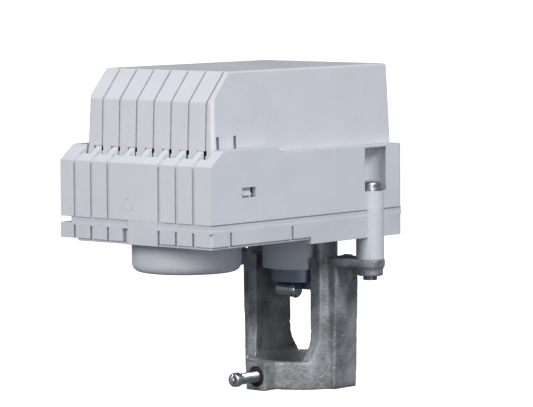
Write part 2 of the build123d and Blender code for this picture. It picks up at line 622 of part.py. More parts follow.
def make_housing_screws():
    """Two long screws with socket heads."""
    screws = []
    bottom = YOKE_TOP_Z - EAR_T - EAR_BOSS_H - INSERT_STICK_OUT
    seat = SCREW_SEAT_Z + WASHER_T
    for side in FACES:
        y = side * BOSS_Y
        shank = rod(SCREW_R, bottom, seat + 0.5, 0, y)
        head = rod(HEAD_R, seat, seat + HEAD_H, 0, y)
        head = fillet(head.edges().sort_by(Axis.Z)[-1], 1.6)
        socket = extrude(Location((0, y, seat + HEAD_H)) * RegularPolygon(HEAD_DRIVE_AF / 2, 6),
                         amount=-2.2)
        screws.append(shank + head - socket)
    return Compound(screws)


def make_washers():
    """One flat washer under each screw head."""
    rings = []
    for side in FACES:
        ring = rod(WASHER_R, SCREW_SEAT_Z, SCREW_SEAT_Z + WASHER_T, 0, side * BOSS_Y)
        rings.append(ring - rod(SCREW_R + SCREW_CLEARANCE, SCREW_SEAT_Z - 1, SCREW_SEAT_Z + 3, 0,
                                side * BOSS_Y))
    return Compound(rings)


def make_inserts():
    """Threaded steel inserts in the ears."""
    inserts = []
    bottom = YOKE_TOP_Z - EAR_T - EAR_BOSS_H - INSERT_STICK_OUT
    for side in FACES:
        body = rod(INSERT_R, bottom, YOKE_TOP_Z, 0, side * BOSS_Y)
        inserts.append(body - rod(SCREW_R, bottom - 1, YOKE_TOP_Z + 1, 0, side * BOSS_Y))
    return Compound(inserts)


def make_neck_screw():
    """Slotted screw that locks the yoke on the valve neck."""
    head_x = LUG_X - NECK_SCREW_OUT
    shank = rod_x(NECK_SCREW_R, head_x - 0.5, -NECK_BORE_R - TIP_GAP, 0, NECK_SCREW_Z)
    head = rod_x(NECK_HEAD_R, head_x - NECK_HEAD_L, head_x, 0, NECK_SCREW_Z)
    slot = block(head_x - NECK_HEAD_L - 1, head_x - NECK_HEAD_L + SLOT_D, -5, 5,
                 NECK_SCREW_Z - SLOT_W / 2, NECK_SCREW_Z + SLOT_W / 2)
    return shank + head - slot


# ---------------- spindle ----------------

def make_guide_bush():
    """Sliding bush in the neck with a keyway."""
    bush = rod(BUSH_R, NECK_TUBE_BOTTOM_Z, BEARING_Z - 0.2) - rod(COUPLING_R + RUN, 0, BEARING_Z + 1)
    key = block(COUPLING_R - 1, COUPLING_R + KEY_OUT + RUN, -KEY_HALF_W - RUN, KEY_HALF_W + RUN,
                NECK_TUBE_BOTTOM_Z - 1, BEARING_Z + 1)
    return bush - key


def make_stem_coupling():
    """Sliding coupling: keyed above, stepped below for the lock pin, bored for the valve stem."""
    body = rod(COUPLING_R, COUPLING_BOTTOM_Z, COUPLING_TOP_Z)
    key = block(COUPLING_R - 2, COUPLING_R + KEY_OUT, -KEY_HALF_W, KEY_HALF_W,
                COUPLING_TOP_Z - 22, COUPLING_TOP_Z)
    step = block(-COUPLING_R - 1, COUPLING_STEP_X, -COUPLING_R - 1, COUPLING_R + 1,
                 COUPLING_BOTTOM_Z - 1, COUPLING_BOTTOM_Z + COUPLING_STEP_H)
    bore = rod(STEM_SOCKET_R, COUPLING_BOTTOM_Z - 1, COUPLING_BOTTOM_Z + STEM_SOCKET_DEPTH)
    seat = rod(SPINDLE_R, COUPLING_TOP_Z - SPINDLE_SEAT, COUPLING_TOP_Z + 1)
    return body + key - step - bore - seat


def make_lock_pin():
    """Cross pin that holds the valve stem, with a groove for its clip."""
    z = COUPLING_BOTTOM_Z
    pin = rod_y(LOCK_PIN_R, -LOCK_PIN_HALF_L, LOCK_PIN_HALF_L, LOCK_PIN_X, z)
    pin = chamfer(pin.edges().filter_by(GeomType.CIRCLE), 0.6)
    groove_y = -LOCK_PIN_HALF_L + 1.6
    ring = rod_y(LOCK_PIN_R + 1, groove_y, groove_y + LOCK_CLIP_T, LOCK_PIN_X, z)
    ring = ring - rod_y(LOCK_PIN_R - 0.8, groove_y - 1, groove_y + 2, LOCK_PIN_X, z)
    return pin - ring


def make_lock_clip():
    """C-shaped spring clip in the groove of the lock pin."""
    z = COUPLING_BOTTOM_Z
    y = -LOCK_PIN_HALF_L + 1.6
    ring = rod_y(LOCK_CLIP_R, y, y + LOCK_CLIP_T, LOCK_PIN_X, z)
    ring = ring - rod_y(LOCK_PIN_R - 0.8, y - 1, y + 2, LOCK_PIN_X, z)
    mouth = block(LOCK_PIN_X - 8, LOCK_PIN_X - 1.0, y - 1, y + 2, z - 9, z - 1.5)
    top = block(LOCK_PIN_X - 9, LOCK_PIN_X + 9, y - 1, y + 2, z + LOCK_PIN_R + 0.2, z + 9)
    return ring - mouth - top


def make_spindle():
    """Lead screw, drawn at its outer diameter."""
    body = rod(SPINDLE_R, COUPLING_TOP_Z - SPINDLE_SEAT, SPINDLE_TOP_Z)
    return chamfer(body.edges().filter_by(GeomType.CIRCLE).sort_by(Axis.Z)[-1], 0.8)


def make_trip_cam():
    """Disc on top of the lead screw that works the limit switches."""
    z0 = SPINDLE_TOP_Z - CAM_H - 1.5
    disc = rod(CAM_R, z0, z0 + CAM_H)
    disc = chamfer(disc.edges().filter_by(GeomType.CIRCLE), 0.8)
    return disc - rod(SPINDLE_R, z0 - 1, z0 + CAM_H + 1)


# ---------------- gears ----------------

def involute(angle):
    """Involute function of a pressure angle in radians."""
    return math.tan(angle) - angle


def gear(module, teeth, z0, phase):
    """Spur gear about Z with a tooth centred on the angle phase, in radians."""
    pitch_r = module * teeth / 2
    base_r = pitch_r * math.cos(math.radians(PRESSURE_ANGLE))
    tip_r = pitch_r + ADDENDUM * module
    root_r = pitch_r - DEDENDUM * module
    half = math.pi / (2 * teeth) - BACKLASH / 2 / (2 * pitch_r) + involute(math.radians(PRESSURE_ANGLE))
    start_r = max(base_r, root_r + 0.02)
    flank = []
    for i in range(5):
        r = start_r + (tip_r - start_r) * i / 4
        roll = math.acos(min(1.0, base_r / r))
        flank.append((r, half - involute(roll)))
    tooth = [(root_r, half)] + flank
    outline = [(r, -a) for r, a in tooth] + [(r, a) for r, a in reversed(tooth)]
    points = []
    for t in range(teeth):
        centre = phase + 2 * math.pi * t / teeth
        points += [(r * math.cos(centre + a), r * math.sin(centre + a)) for r, a in outline]
    return plan_prism(points, z0, z0 + GEAR_W)


def mesh_phase(teeth_a, phase_a, teeth_b, heading):
    """Phase of gear b that meshes with gear a, when b lies at the angle heading from a."""
    return heading + math.pi - (math.pi - teeth_a * (heading - phase_a)) / teeth_b


def third_corner(a, b, side_a, side_b):
    """Point at side_a from a and side_b from b, on the left of the line a to b."""
    dx = b[0] - a[0]
    dy = b[1] - a[1]
    span = math.hypot(dx, dy)
    along = (side_a ** 2 - side_b ** 2 + span ** 2) / (2 * span)
    off = math.sqrt(side_a ** 2 - along ** 2)
    return (a[0] + (along * dx - off * dy) / span, a[1] + (along * dy + off * dx) / span)


def heading(a, b):
    """Angle of the line from a to b."""
    return math.atan2(b[1] - a[1], b[0] - a[0])


REACH_1 = FINE_MODULE * (PINION_TEETH + WHEEL_1_TEETH) / 2
REACH_2 = COARSE_MODULE * (PINION_1_TEETH + WHEEL_2_TEETH) / 2
REACH_3 = COARSE_MODULE * (PINION_2_TEETH + DRIVE_TEETH) / 2
MOTOR = (MOTOR_X, 0.0)
SPINDLE = (0.0, 0.0)
GEAR_2 = (REACH_3 * math.cos(math.radians(GEAR_2_ANGLE)), REACH_3 * math.sin(math.radians(GEAR_2_ANGLE)))
GEAR_1 = third_corner(MOTOR, GEAR_2, REACH_1, REACH_2)


def make_drive_gear():
    """Large gear with its bearing hub, bored for the brass nut."""
    wheel = gear(COARSE_MODULE, DRIVE_TEETH, LAYER_1, 0.0)
    hub = rod(BEARING_IN_R, BEARING_Z, LAYER_1 + 0.5)
    return wheel + hub - rod(NUT_R, BEARING_Z - 1, LAYER_1 + GEAR_W + 1)


def make_drive_nut():
    """Brass nut pressed into the drive gear."""
    return rod(NUT_R, BEARING_Z, LAYER_1 + GEAR_W) - rod(SPINDLE_R + RUN, 0, 200)


def axle_hub():
    """Hub between the two plates, with a little end play."""
    return rod(HUB_R, GEAR_PLATE_Z + PLATE_T + HUB_PLAY, BRIDGE_Z - HUB_PLAY)


def make_gear_2():
    """Second reduction gear: small toothing below, large wheel above."""
    small_phase = mesh_phase(DRIVE_TEETH, 0.0, PINION_2_TEETH, heading(SPINDLE, GEAR_2))
    small = gear(COARSE_MODULE, PINION_2_TEETH, LAYER_1, small_phase)
    wheel = gear(COARSE_MODULE, WHEEL_2_TEETH, LAYER_2, 0.0)
    body = small + wheel + axle_hub() - rod(AXLE_R + RUN, 0, 200)
    return body.moved(Location((GEAR_2[0], GEAR_2[1], 0)))


def make_gear_1():
    """First reduction gear: small toothing below, large wheel above."""
    small_phase = mesh_phase(WHEEL_2_TEETH, 0.0, PINION_1_TEETH, heading(GEAR_2, GEAR_1))
    small = gear(COARSE_MODULE, PINION_1_TEETH, LAYER_2, small_phase)
    wheel = gear(FINE_MODULE, WHEEL_1_TEETH, LAYER_3, 0.0)
    body = small + wheel + axle_hub() - rod(AXLE_R + RUN, 0, 200)
    return body.moved(Location((GEAR_1[0], GEAR_1[1], 0)))


def make_motor_pinion():
    """Pinion on the motor shaft."""
    phase = mesh_phase(WHEEL_1_TEETH, 0.0, PINION_TEETH, heading(GEAR_1, MOTOR))
    pinion = gear(FINE_MODULE, PINION_TEETH, LAYER_3, phase) - rod(MOTOR_SHAFT_R, 0, 200)
    return pinion.moved(Location((MOTOR_X, 0, 0)))


def make_motor_shaft():
    """Output shaft of the motor."""
    return rod(MOTOR_SHAFT_R, GEAR_PLATE_Z - MOTOR_SHAFT_SEAT, LAYER_3 + GEAR_W, MOTOR_X)


def make_motor_case():
    """Round case of the synchronous motor, open for its shaft."""
    can = rod(MOTOR_R, MOTOR_Z, GEAR_PLATE_Z, MOTOR_X)
    can = fillet(can.edges().sort_by(Axis.Z)[0], 1.5)
    nose = rod(MOTOR_NOSE_R, GEAR_PLATE_Z, GEAR_PLATE_Z + PLATE_T, MOTOR_X)
    hole = rod(MOTOR_SHAFT_R + RUN, GEAR_PLATE_Z - MOTOR_SHAFT_SEAT, GEAR_PLATE_Z + 9, MOTOR_X)
    return can + nose - hole


# ---------------- bearing, plates and axles ----------------

def ring_with_race(inner_r, outer_r):
    """Bearing ring with the ball groove cut into it."""
    mid_z = BEARING_Z + BEARING_H / 2
    ring = rod(outer_r, BEARING_Z, BEARING_Z + BEARING_H) - rod(inner_r, BEARING_Z - 1, 100)
    return ring - Torus(BEARING_PITCH_R, BALL_R + RUN).moved(Location((0, 0, mid_z)))


def make_bearing_outer():
    """Outer ring, pressed into the base plate."""
    return ring_with_race(BEARING_OUT_R - RACE_T - RACE_SHOULDER, BEARING_OUT_R)


def make_bearing_inner():
    """Inner ring, pressed on the drive gear's hub."""
    return ring_with_race(BEARING_IN_R, BEARING_IN_R + RACE_T + RACE_SHOULDER)


def make_bearing_balls():
    """The balls of the drive bearing."""
    mid_z = BEARING_Z + BEARING_H / 2
    balls = []
    for i in range(BALL_COUNT):
        turn = 2 * math.pi * i / BALL_COUNT
        place = (BEARING_PITCH_R * math.cos(turn), BEARING_PITCH_R * math.sin(turn), mid_z)
        balls.append(Sphere(BALL_R).moved(Location(place)))
    return Compound(balls)


def make_gear_plate():
    """Steel plate that carries the motor and the gear axles."""
    plate = block(PLATE_LEFT, PLATE_RIGHT, -PLATE_HALF_W, PLATE_HALF_W, GEAR_PLATE_Z, GEAR_PLATE_Z + PLATE_T)
    plate = fillet(plate.edges().filter_by(Axis.Z), 3.0)
    plate = plate - rod(BEARING_SEAT_R + 0.3, 0, 200) - rod(MOTOR_NOSE_R, 0, 200, MOTOR_X)
    for x, y in (GEAR_1, GEAR_2):
        plate = plate - rod(AXLE_R, 0, 200, x, y)
    for x, y in POSTS:
        plate = plate - rod(POST_SCREW_R, 0, 200, x, y)
    return plate


def make_bearing_bridge():
    """Upper steel plate that holds the axles and guides the lead screw."""
    plate = block(PLATE_LEFT, PLATE_RIGHT, -PLATE_HALF_W, PLATE_HALF_W, BRIDGE_Z, BRIDGE_TOP)
    plate = fillet(plate.edges().filter_by(Axis.Z), 3.0)
    plate = plate - rod(TOP_BUSH_R, 0, 200)
    plate = plate - block(-86, -70, -27, -13, 0, 200) - block(-52, -36, 12, 27, 0, 200)
    for x, y in (GEAR_1, GEAR_2):
        plate = plate - rod(AXLE_R, 0, 200, x, y)
    for x, y in POSTS + STANDOFFS:
        plate = plate - rod(POST_SCREW_R, 0, 200, x, y)
    return plate


def make_spindle_bush():
    """Flanged bush in the bridge around the lead screw."""
    bush = rod(TOP_BUSH_R, BRIDGE_Z, BRIDGE_TOP)
    flange = rod(TOP_BUSH_R + TOP_BUSH_FLANGE, BRIDGE_TOP, BRIDGE_TOP + TOP_BUSH_FLANGE_T)
    return bush + flange - rod(SPINDLE_R + RUN, 0, 200)


def make_axle(place):
    """Steel axle between the two plates."""
    return rod(AXLE_R, GEAR_PLATE_Z, BRIDGE_TOP, place[0], place[1])


def make_pillars():
    """Spacer tubes between gear plate and bridge."""
    tubes = []
    for x, y in POSTS:
        tube = rod(POST_R, GEAR_PLATE_Z + PLATE_T, BRIDGE_Z, x, y) - rod(POST_SCREW_R, 0, 200, x, y)
        tubes.append(tube)
    return Compound(tubes)


def make_pillar_screws():
    """Long screws through bridge, pillars and gear plate into the base."""
    screws = []
    for x, y in POSTS:
        shank = rod(POST_SCREW_R, GEAR_PLATE_Z - 5.5, BRIDGE_TOP + 0.5, x, y)
        head = rod(POST_HEAD_R, BRIDGE_TOP, BRIDGE_TOP + POST_HEAD_H, x, y)
        head = fillet(head.edges().sort_by(Axis.Z)[-1], 0.7)
        slot = block(x - 4, x + 4, y - 0.4, y + 0.4, BRIDGE_TOP + 1.0, BRIDGE_TOP + 3)
        screws.append(shank + head - slot)
    return Compound(screws)


# ---------------- electronics ----------------

def make_circuit_board():
    """Printed circuit board."""
    board = block(BOARD_LEFT, BOARD_RIGHT, BOARD_FRONT, BOARD_BACK, BOARD_Z, BOARD_Z + BOARD_T)
    board = fillet(board.edges().filter_by(Axis.Z), 2.0)
    for x, y in STANDOFFS:
        board = board - rod(POST_SCREW_R, 0, 200, x, y)
    return board


def make_standoffs():
    """Hexagonal spacers under the board."""
    spacers = []
    for x, y in STANDOFFS:
        hexagon = Location((x, y, BRIDGE_TOP)) * RegularPolygon(STANDOFF_R, 6)
        spacer = extrude(hexagon, amount=BOARD_Z - BRIDGE_TOP)
        stud = rod(POST_SCREW_R, BRIDGE_Z, BRIDGE_TOP + 1, x, y)
        spacers.append(spacer + stud - rod(POST_SCREW_R, BOARD_Z - 4, BOARD_Z + 1, x, y))
    return Compound(spacers)


def make_board_screws():
    """Screws that hold the board on its spacers."""
    screws = []
    top = BOARD_Z + BOARD_T
    for x, y in STANDOFFS:
        shank = rod(POST_SCREW_R, BOARD_Z - 3.5, top + 0.5, x, y)
        head = rod(POST_HEAD_R, top, top + POST_HEAD_H, x, y)
        slot = block(x - 4, x + 4, y - 0.4, y + 0.4, top + 1.0, top + 3)
        screws.append(shank + head - slot)
    return Compound(screws)


def make_terminal_block():
    """Screw terminals along the back edge of the board."""
    top = BOARD_Z + BOARD_T
    length = TERMINAL_POLES * TERMINAL_PITCH
    x0 = TERMINAL_LEFT
    y1 = BOARD_BACK - TERMINAL_IN
    body = block(x0, x0 + length, y1 - TERMINAL_D, y1, top, top + TERMINAL_H)
    body = chamfer(body.edges().filter_by(Axis.X).sort_by(Axis.Z)[-2:], 1.6)
    for i in range(TERMINAL_POLES):
        x = x0 + TERMINAL_PITCH * (i + 0.5)
        body = body - rod(TERMINAL_SCREW_R, top + TERMINAL_H - 3, top + TERMINAL_H + 1, x, y1 - TERMINAL_D / 2)
        body = body - block(x - 2, x + 2, y1 - 3, y1 + 1, top + 1.5, top + 5.5)
    return body


def make_terminal_screws():
    """Clamp screws of the terminal block."""
    top = BOARD_Z + BOARD_T + TERMINAL_H
    y = BOARD_BACK - TERMINAL_IN - TERMINAL_D / 2
    screws = []
    for i in range(TERMINAL_POLES):
        x = TERMINAL_LEFT + TERMINAL_PITCH * (i + 0.5)
        slot = block(x - 3, x + 3, y - 0.35, y + 0.35, top - 1.4, top)
        screws.append(rod(TERMINAL_SCREW_R - 0.1, top - 2.9, top - 0.8, x, y) - slot)
    return Compound(screws)


def make_capacitor():
    """Motor capacitor lying on the board."""
    z = BOARD_Z + BOARD_T + CAPACITOR_R
    right = CAPACITOR_LEFT + CAPACITOR_L
    can = rod_x(CAPACITOR_R, CAPACITOR_LEFT, right, CAPACITOR_Y, z)
    return fillet(can.edges().filter_by(GeomType.CIRCLE), 0.9)


def make_switch(z0):
    """Limit switch beside the lead screw."""
    depth, width, height = SWITCH_SIZE
    x1 = -CAM_R - SWITCH_GAP
    mid_z = z0 + height / 2
    body = block(x1 - 1.0 - depth, x1 - 1.0, -width / 2, width / 2, z0, z0 + height)
    for y in (-width / 2 + SWITCH_HOLE_IN, width / 2 - SWITCH_HOLE_IN):
        body = body - rod_x(SWITCH_HOLE_R, x1 - depth - 2, x1, y, mid_z)
    return body + block(x1 - 1.5, x1, -1.2, 1.2, mid_z - 1.5, mid_z + 1.5)


def make_switch_bracket():
    """Folded sheet that carries both limit switches."""
    depth, width, height = SWITCH_SIZE
    x1 = -CAM_R - SWITCH_GAP - 1.0 - depth
    top = SWITCH_ZS[1] + height
    upright = block(x1 - SHEET_T, x1, -width / 2, width / 2, BRIDGE_TOP, top)
    foot = block(x1 - 8.0, x1 - SHEET_T / 2, -width / 2, width / 2, BRIDGE_TOP, BRIDGE_TOP + SHEET_T)
    for z in SWITCH_ZS:
        for y in (-width / 2 + SWITCH_HOLE_IN, width / 2 - SWITCH_HOLE_IN):
            upright = upright - rod_x(SWITCH_HOLE_R, x1 - 2, x1 + 1, y, z + height / 2)
    return upright + foot


PIECES = {
    "lower_housing": make_lower_housing,
    "top_cover": make_top_cover,
    "base_plate": make_base_plate,
    "cover_seal": make_cover_seal,
    "cover_latch": make_cover_latch,
    "entry_plug": make_entry_plug,
    "yoke": make_yoke,
    "housing_screws": make_housing_screws,
    "screw_washers": make_washers,
    "yoke_inserts": make_inserts,
    "neck_screw": make_neck_screw,
    "guide_bush": make_guide_bush,
    "stem_coupling": make_stem_coupling,
    "lock_pin": make_lock_pin,
    "lock_clip": make_lock_clip,
    "lead_screw": make_spindle,
    "trip_cam": make_trip_cam,
    "drive_gear": make_drive_gear,
    "drive_nut": make_drive_nut,
    "reduction_gear_2": make_gear_2,
    "reduction_gear_1": make_gear_1,
    "motor_pinion": make_motor_pinion,
    "motor_shaft": make_motor_shaft,
    "motor_case": make_motor_case,
    "bearing_outer_ring": make_bearing_outer,
    "bearing_inner_ring": make_bearing_inner,
    "bearing_balls": make_bearing_balls,
    "gear_plate": make_gear_plate,
    "bearing_bridge": make_bearing_bridge,
    "spindle_bush": make_spindle_bush,
    "gear_axle_1": lambda: make_axle(GEAR_1),
    "gear_axle_2": lambda: make_axle(GEAR_2),
    "plate_pillars": make_pillars,
    "pillar_screws": make_pillar_screws,
    "circuit_board": make_circuit_board,
    "board_spacers": make_standoffs,
    "board_screws": make_board_screws,
    "terminal_block": make_terminal_block,
    "terminal_screws": make_terminal_screws,
    "motor_capacitor": make_capacitor,
    "limit_switch_lower": lambda: make_switch(SWITCH_ZS[0]),
    "limit_switch_upper": lambda: make_switch(SWITCH_ZS[1]),
    "switch_bracket": make_switch_bracket,
}

os.makedirs("parts", exist_ok=True)
for name, make in PIECES.items():
    shape = make()
    export_step(shape, f"parts/{name}.step")
    print(name, "done")
print("gear centres", GEAR_1, GEAR_2)
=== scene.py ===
import math
import bpy
from bpy.props import FloatProperty, FloatVectorProperty, IntProperty, PointerProperty
from mathutils import Matrix, Vector


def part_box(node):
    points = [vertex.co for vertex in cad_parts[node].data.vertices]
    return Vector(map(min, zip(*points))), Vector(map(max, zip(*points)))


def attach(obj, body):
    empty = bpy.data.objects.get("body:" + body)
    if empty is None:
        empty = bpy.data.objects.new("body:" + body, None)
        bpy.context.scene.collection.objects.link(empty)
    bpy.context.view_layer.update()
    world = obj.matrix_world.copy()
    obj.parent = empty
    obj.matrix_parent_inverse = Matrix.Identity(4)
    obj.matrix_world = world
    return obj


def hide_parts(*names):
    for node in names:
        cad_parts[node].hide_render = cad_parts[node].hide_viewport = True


bl_info = {
    "name": "Valve Actuator Dressing",
    "version": (1, 0, 0),
    "blender": (4, 5, 0),
    "location": "View3D > Sidebar > Actuator",
    "description": "Finishes, small parts and studio for the motorized valve actuator",
    "category": "Object",
}

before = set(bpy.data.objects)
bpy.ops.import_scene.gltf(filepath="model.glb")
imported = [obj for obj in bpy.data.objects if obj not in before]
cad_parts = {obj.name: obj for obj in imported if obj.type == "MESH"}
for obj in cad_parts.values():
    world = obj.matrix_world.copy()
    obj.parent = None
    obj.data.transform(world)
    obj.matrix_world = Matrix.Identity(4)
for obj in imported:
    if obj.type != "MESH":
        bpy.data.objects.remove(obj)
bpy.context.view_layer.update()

MM = 0.001
MERGE = 0.00001
SMOOTH_ANGLE = 35.0
BOARD_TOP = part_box("circuit_board")[1].z / MM
MOTOR_AXIS_X = -90.5

# the machined faces of the casting, in millimetres
COLLAR_BORE_R = 24.35
COLLAR_BORE_TOP = 17.3
FOOT_FACE_Z = 0.25
EAR_FACE_Z = 81.6

# the camera: place in metres, angles in degrees, focal length in the units of the frame's width
CAMERA_PLACE = (-1.38641, -1.17663, 0.24485)
CAMERA_HEADING = 49.116
CAMERA_PITCH = 4.648
CAMERA_ROLL = -0.307
FOCAL_LENGTH = 3403.5
FRAME_WIDTH = 533
SENSOR_WIDTH = 36.0


def srgb(red, green, blue):
    """Display colour, 0 to 255, as the linear values that the shaders use."""
    linear = []
    for value in (red, green, blue):
        part = value / 255
        linear.append(part / 12.92 if part <= 0.04045 else ((part + 0.055) / 1.055) ** 2.4)
    return (*linear, 1.0)


# ---------------------------------------------------------------- settings

def length(name, text, millimetres):
    """A length setting in metres."""
    return FloatProperty(name=name, description=text, default=millimetres * MM, subtype="DISTANCE",
                         unit="LENGTH")


def colour(name, text, value):
    """A colour setting without alpha."""
    return FloatVectorProperty(name=name, description=text, default=value[:3], size=3, subtype="COLOR",
                               min=0.0, max=1.0)


class ActuatorSizes(bpy.types.PropertyGroup):
    """Sizes of the modelled small parts."""
    casting_voxel: length("Casting voxel", "Mesh size of the rounded yoke casting", 0.7)
    casting_skin: length("Casting skin", "Height of the bumps on the casting's raw skin", 0.3)
    neck_pitch: length("Neck screw pitch", "Thread pitch of the neck screw", 1.0)
    lead_pitch: length("Lead screw lead", "Lead of the lead screw", 4.0)
    thread_depth: length("Thread depth", "Depth of the lead screw's thread", 0.6)
    wire_radius: length("Wire radius", "Radius of one insulated wire", 0.7)
    relay_height: length("Relay height", "Height of the relays on the board", 12.0)
    thread_steps: IntProperty(name="Thread steps", description="Steps round one turn of a thread", default=20,
                              min=8, max=48)


class ActuatorColours(bpy.types.PropertyGroup):
    """Main colours of the object and the studio."""
    housing: colour("Housing", "Moulded plastic of the lower housing", srgb(206, 208, 214))
    cover: colour("Cover", "Moulded plastic of the top cover", srgb(208, 208, 214))
    base: colour("Base", "Paint on the base casting", srgb(200, 203, 210))
    casting: colour("Casting", "Raw aluminium of the yoke", srgb(150, 153, 156))
    steel: colour("Plain steel", "Turned steel of the spindle", srgb(128, 132, 136))
    zinc: colour("Zinc", "Zinc-plated steel of screws and sheet parts", srgb(205, 208, 212))
    brass: colour("Brass", "Turned brass", srgb(214, 178, 104))
    floor: colour("Floor", "Studio floor and backdrop", srgb(247, 247, 248))


# ---------------------------------------------------------------- mesh helpers

def clear_selection():
    """Nothing selected, nothing active."""
    if bpy.context.object and bpy.context.object.mode != "OBJECT":
        bpy.ops.object.mode_set(mode="OBJECT")
    bpy.ops.object.select_all(action="DESELECT")


def claim(name):
    """The object just added, under its own name and alone in the selection."""
    obj = bpy.context.active_object
    obj.name = name
    obj.data.name = name
    return obj


def settle(obj, parts=()):
    """Joins parts into obj and moves its place into its mesh."""
    clear_selection()
    for part in parts:
        part.select_set(True)
    obj.select_set(True)
    bpy.context.view_layer.objects.active = obj
    if parts:
        bpy.ops.object.join()
    bpy.ops.object.transform_apply(location=True, rotation=True, scale=True)
    return obj


def use(obj, kind, **values):
    """Adds a modifier to obj and applies it."""
    clear_selection()
    obj.select_set(True)
    bpy.context.view_layer.objects.active = obj
    modifier = obj.modifiers.new(kind.title(), kind)
    for key, value in values.items():
        setattr(modifier, key, value)
    bpy.ops.object.modifier_apply(modifier=modifier.name)


def edit(obj):
    """Enters edit mode on obj alone, with everything selected."""
    clear_selection()
    obj.select_set(True)
    bpy.context.view_layer.objects.active = obj
    bpy.ops.object.mode_set(mode="EDIT")
    bpy.ops.mesh.select_all(action="SELECT")


def leave_edit(obj, angle=SMOOTH_ANGLE):
    """Merges doubles, turns faces outwards, leaves edit mode and smooths by angle."""
    bpy.ops.mesh.select_all(action="SELECT")
    bpy.ops.mesh.remove_doubles(threshold=MERGE)
    bpy.ops.mesh.normals_make_consistent(inside=False)
    bpy.ops.object.mode_set(mode="OBJECT")
    bpy.ops.object.shade_smooth_by_angle(angle=math.radians(angle))
    return obj


def box_part(name, low, high, bevel=0.0):
    """Box between two corners with bevelled edges, in millimetres."""
    clear_selection()
    centre = [(a + b) / 2 * MM for a, b in zip(low, high)]
    bpy.ops.mesh.primitive_cube_add(size=1.0, location=centre)
    obj = claim(name)
    obj.scale = [(b - a) * MM for a, b in zip(low, high)]
    settle(obj)
    edit(obj)
    if bevel:
        bpy.ops.mesh.bevel(offset=bevel * MM, segments=2, affect="EDGES")
    return leave_edit(obj)


def trace(name, points):
    """Open line through points, in millimetres, extruded from one corner of a plane."""
    clear_selection()
    start = [value * MM for value in points[0]]
    bpy.ops.mesh.primitive_plane_add(size=MM, location=(0, 0, 0))
    obj = claim(name)
    edit(obj)
    bpy.ops.mesh.merge(type="CENTER")
    bpy.ops.transform.translate(value=start)
    for before, after in zip(points, points[1:]):
        step = [(b - a) * MM for a, b in zip(before, after)]
        bpy.ops.mesh.extrude_vertices_move(TRANSFORM_OT_translate={"value": step})
    bpy.ops.object.mode_set(mode="OBJECT")
    return obj


def turned(name, profile, centre=(0.0, 0.0), steps=32, angle=SMOOTH_ANGLE):
    """Profile of (radius, z) points in millimetres spun round an upright axis at centre."""
    x, y = centre
    obj = trace(name, [(x + radius, y, z) for radius, z in profile])
    edit(obj)
    bpy.ops.mesh.spin(steps=steps, angle=math.tau, center=(x * MM, y * MM, 0.0), axis=(0.0, 0.0, 1.0))
    return leave_edit(obj, angle)


def copied(obj, name, shift):
    """Copy of obj with its own mesh, moved by shift in millimetres."""
    twin = obj.copy()
    twin.data = obj.data.copy()
    twin.name = name
    bpy.context.scene.collection.objects.link(twin)
    twin.data.transform(Matrix.Translation([value * MM for value in shift]))
    return twin


def turn_to_x(obj, place):
    """Tips obj's upright axis over to +X and sets it down at place, in millimetres."""
    obj.rotation_euler = (0.0, math.radians(90), 0.0)
    obj.location = [value * MM for value in place]
    settle(obj)


def node_copy(node, name):
    """Merged copy of a CAD node's mesh as a new object."""
    clear_selection()
    obj = bpy.data.objects.new(name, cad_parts[node].data.copy())
    bpy.context.scene.collection.objects.link(obj)
    obj.data.materials.clear()
    edit(obj)
    bpy.ops.mesh.remove_doubles(threshold=MERGE)
    bpy.ops.object.mode_set(mode="OBJECT")
    return obj


def tube(name, points, radius):
    """Smooth round tube through points, in millimetres."""
    clear_selection()
    bpy.ops.curve.primitive_nurbs_path_add(location=(0, 0, 0))
    obj = claim(name)
    spline = obj.data.splines[0]
    spline.points.add(len(points) - len(spline.points))
    for knot, point in zip(spline.points, points):
        knot.co = (*[value * MM for value in point], 1.0)
    spline.order_u = 3
    spline.use_endpoint_u = True
    spline.resolution_u = 10
    obj.data.bevel_depth = radius
    obj.data.bevel_resolution = 3
    obj.data.use_fill_caps = True
    bpy.ops.object.convert(target="MESH")
    obj = bpy.context.active_object
    bpy.ops.object.shade_smooth_by_angle(angle=math.radians(60))
    return obj


def threaded(name, pitch, turns, steps, profile):
    """Thread turned up +Z by the screw modifier from one pitch of (radius, z) profile points."""
    obj = trace(name, [(radius, 0.0, z) for radius, z in profile])
    use(obj, "SCREW", axis="Z", angle=math.tau, screw_offset=pitch * MM, iterations=turns, steps=steps,
        render_steps=steps, use_merge_vertices=True, merge_threshold=MERGE)
    return obj


def cut_off(obj, z, keep_below):
    """Cuts obj level at z, in millimetres, and closes the cut."""
    edit(obj)
    bpy.ops.mesh.bisect(plane_co=(0.0, 0.0, z * MM), plane_no=(0.0, 0.0, 1.0), use_fill=True,
                        clear_outer=keep_below, clear_inner=not keep_below)
    bpy.ops.object.mode_set(mode="OBJECT")


# ---------------------------------------------------------------- shader groups

def new_group(name, inputs, outputs):
    """Empty shader group with named sockets."""
    group = bpy.data.node_groups.new(name, "ShaderNodeTree")
    for label, kind, value in inputs:
        socket = group.interface.new_socket(name=label, in_out="INPUT", socket_type=kind)
        if value is not None:
            socket.default_value = value
    for label, kind in outputs:
        group.interface.new_socket(name=label, in_out="OUTPUT", socket_type=kind)
    return group, group.nodes.new("NodeGroupInput"), group.nodes.new("NodeGroupOutput")


def feed(tree, node, inputs):
    """Links a node's inputs to other outputs, or sets them to plain values."""
    for key, source in inputs.items():
        if isinstance(source, bpy.types.NodeSocket):
            tree.links.new(source, node.inputs[key])
        else:
            node.inputs[key].default_value = source


def add(tree, kind, inputs=None, **values):
    """New node with its attributes set and its inputs fed."""
    node = tree.nodes.new(kind)
    for key, value in values.items():
        setattr(node, key, value)
    feed(tree, node, inputs or {})
    return node


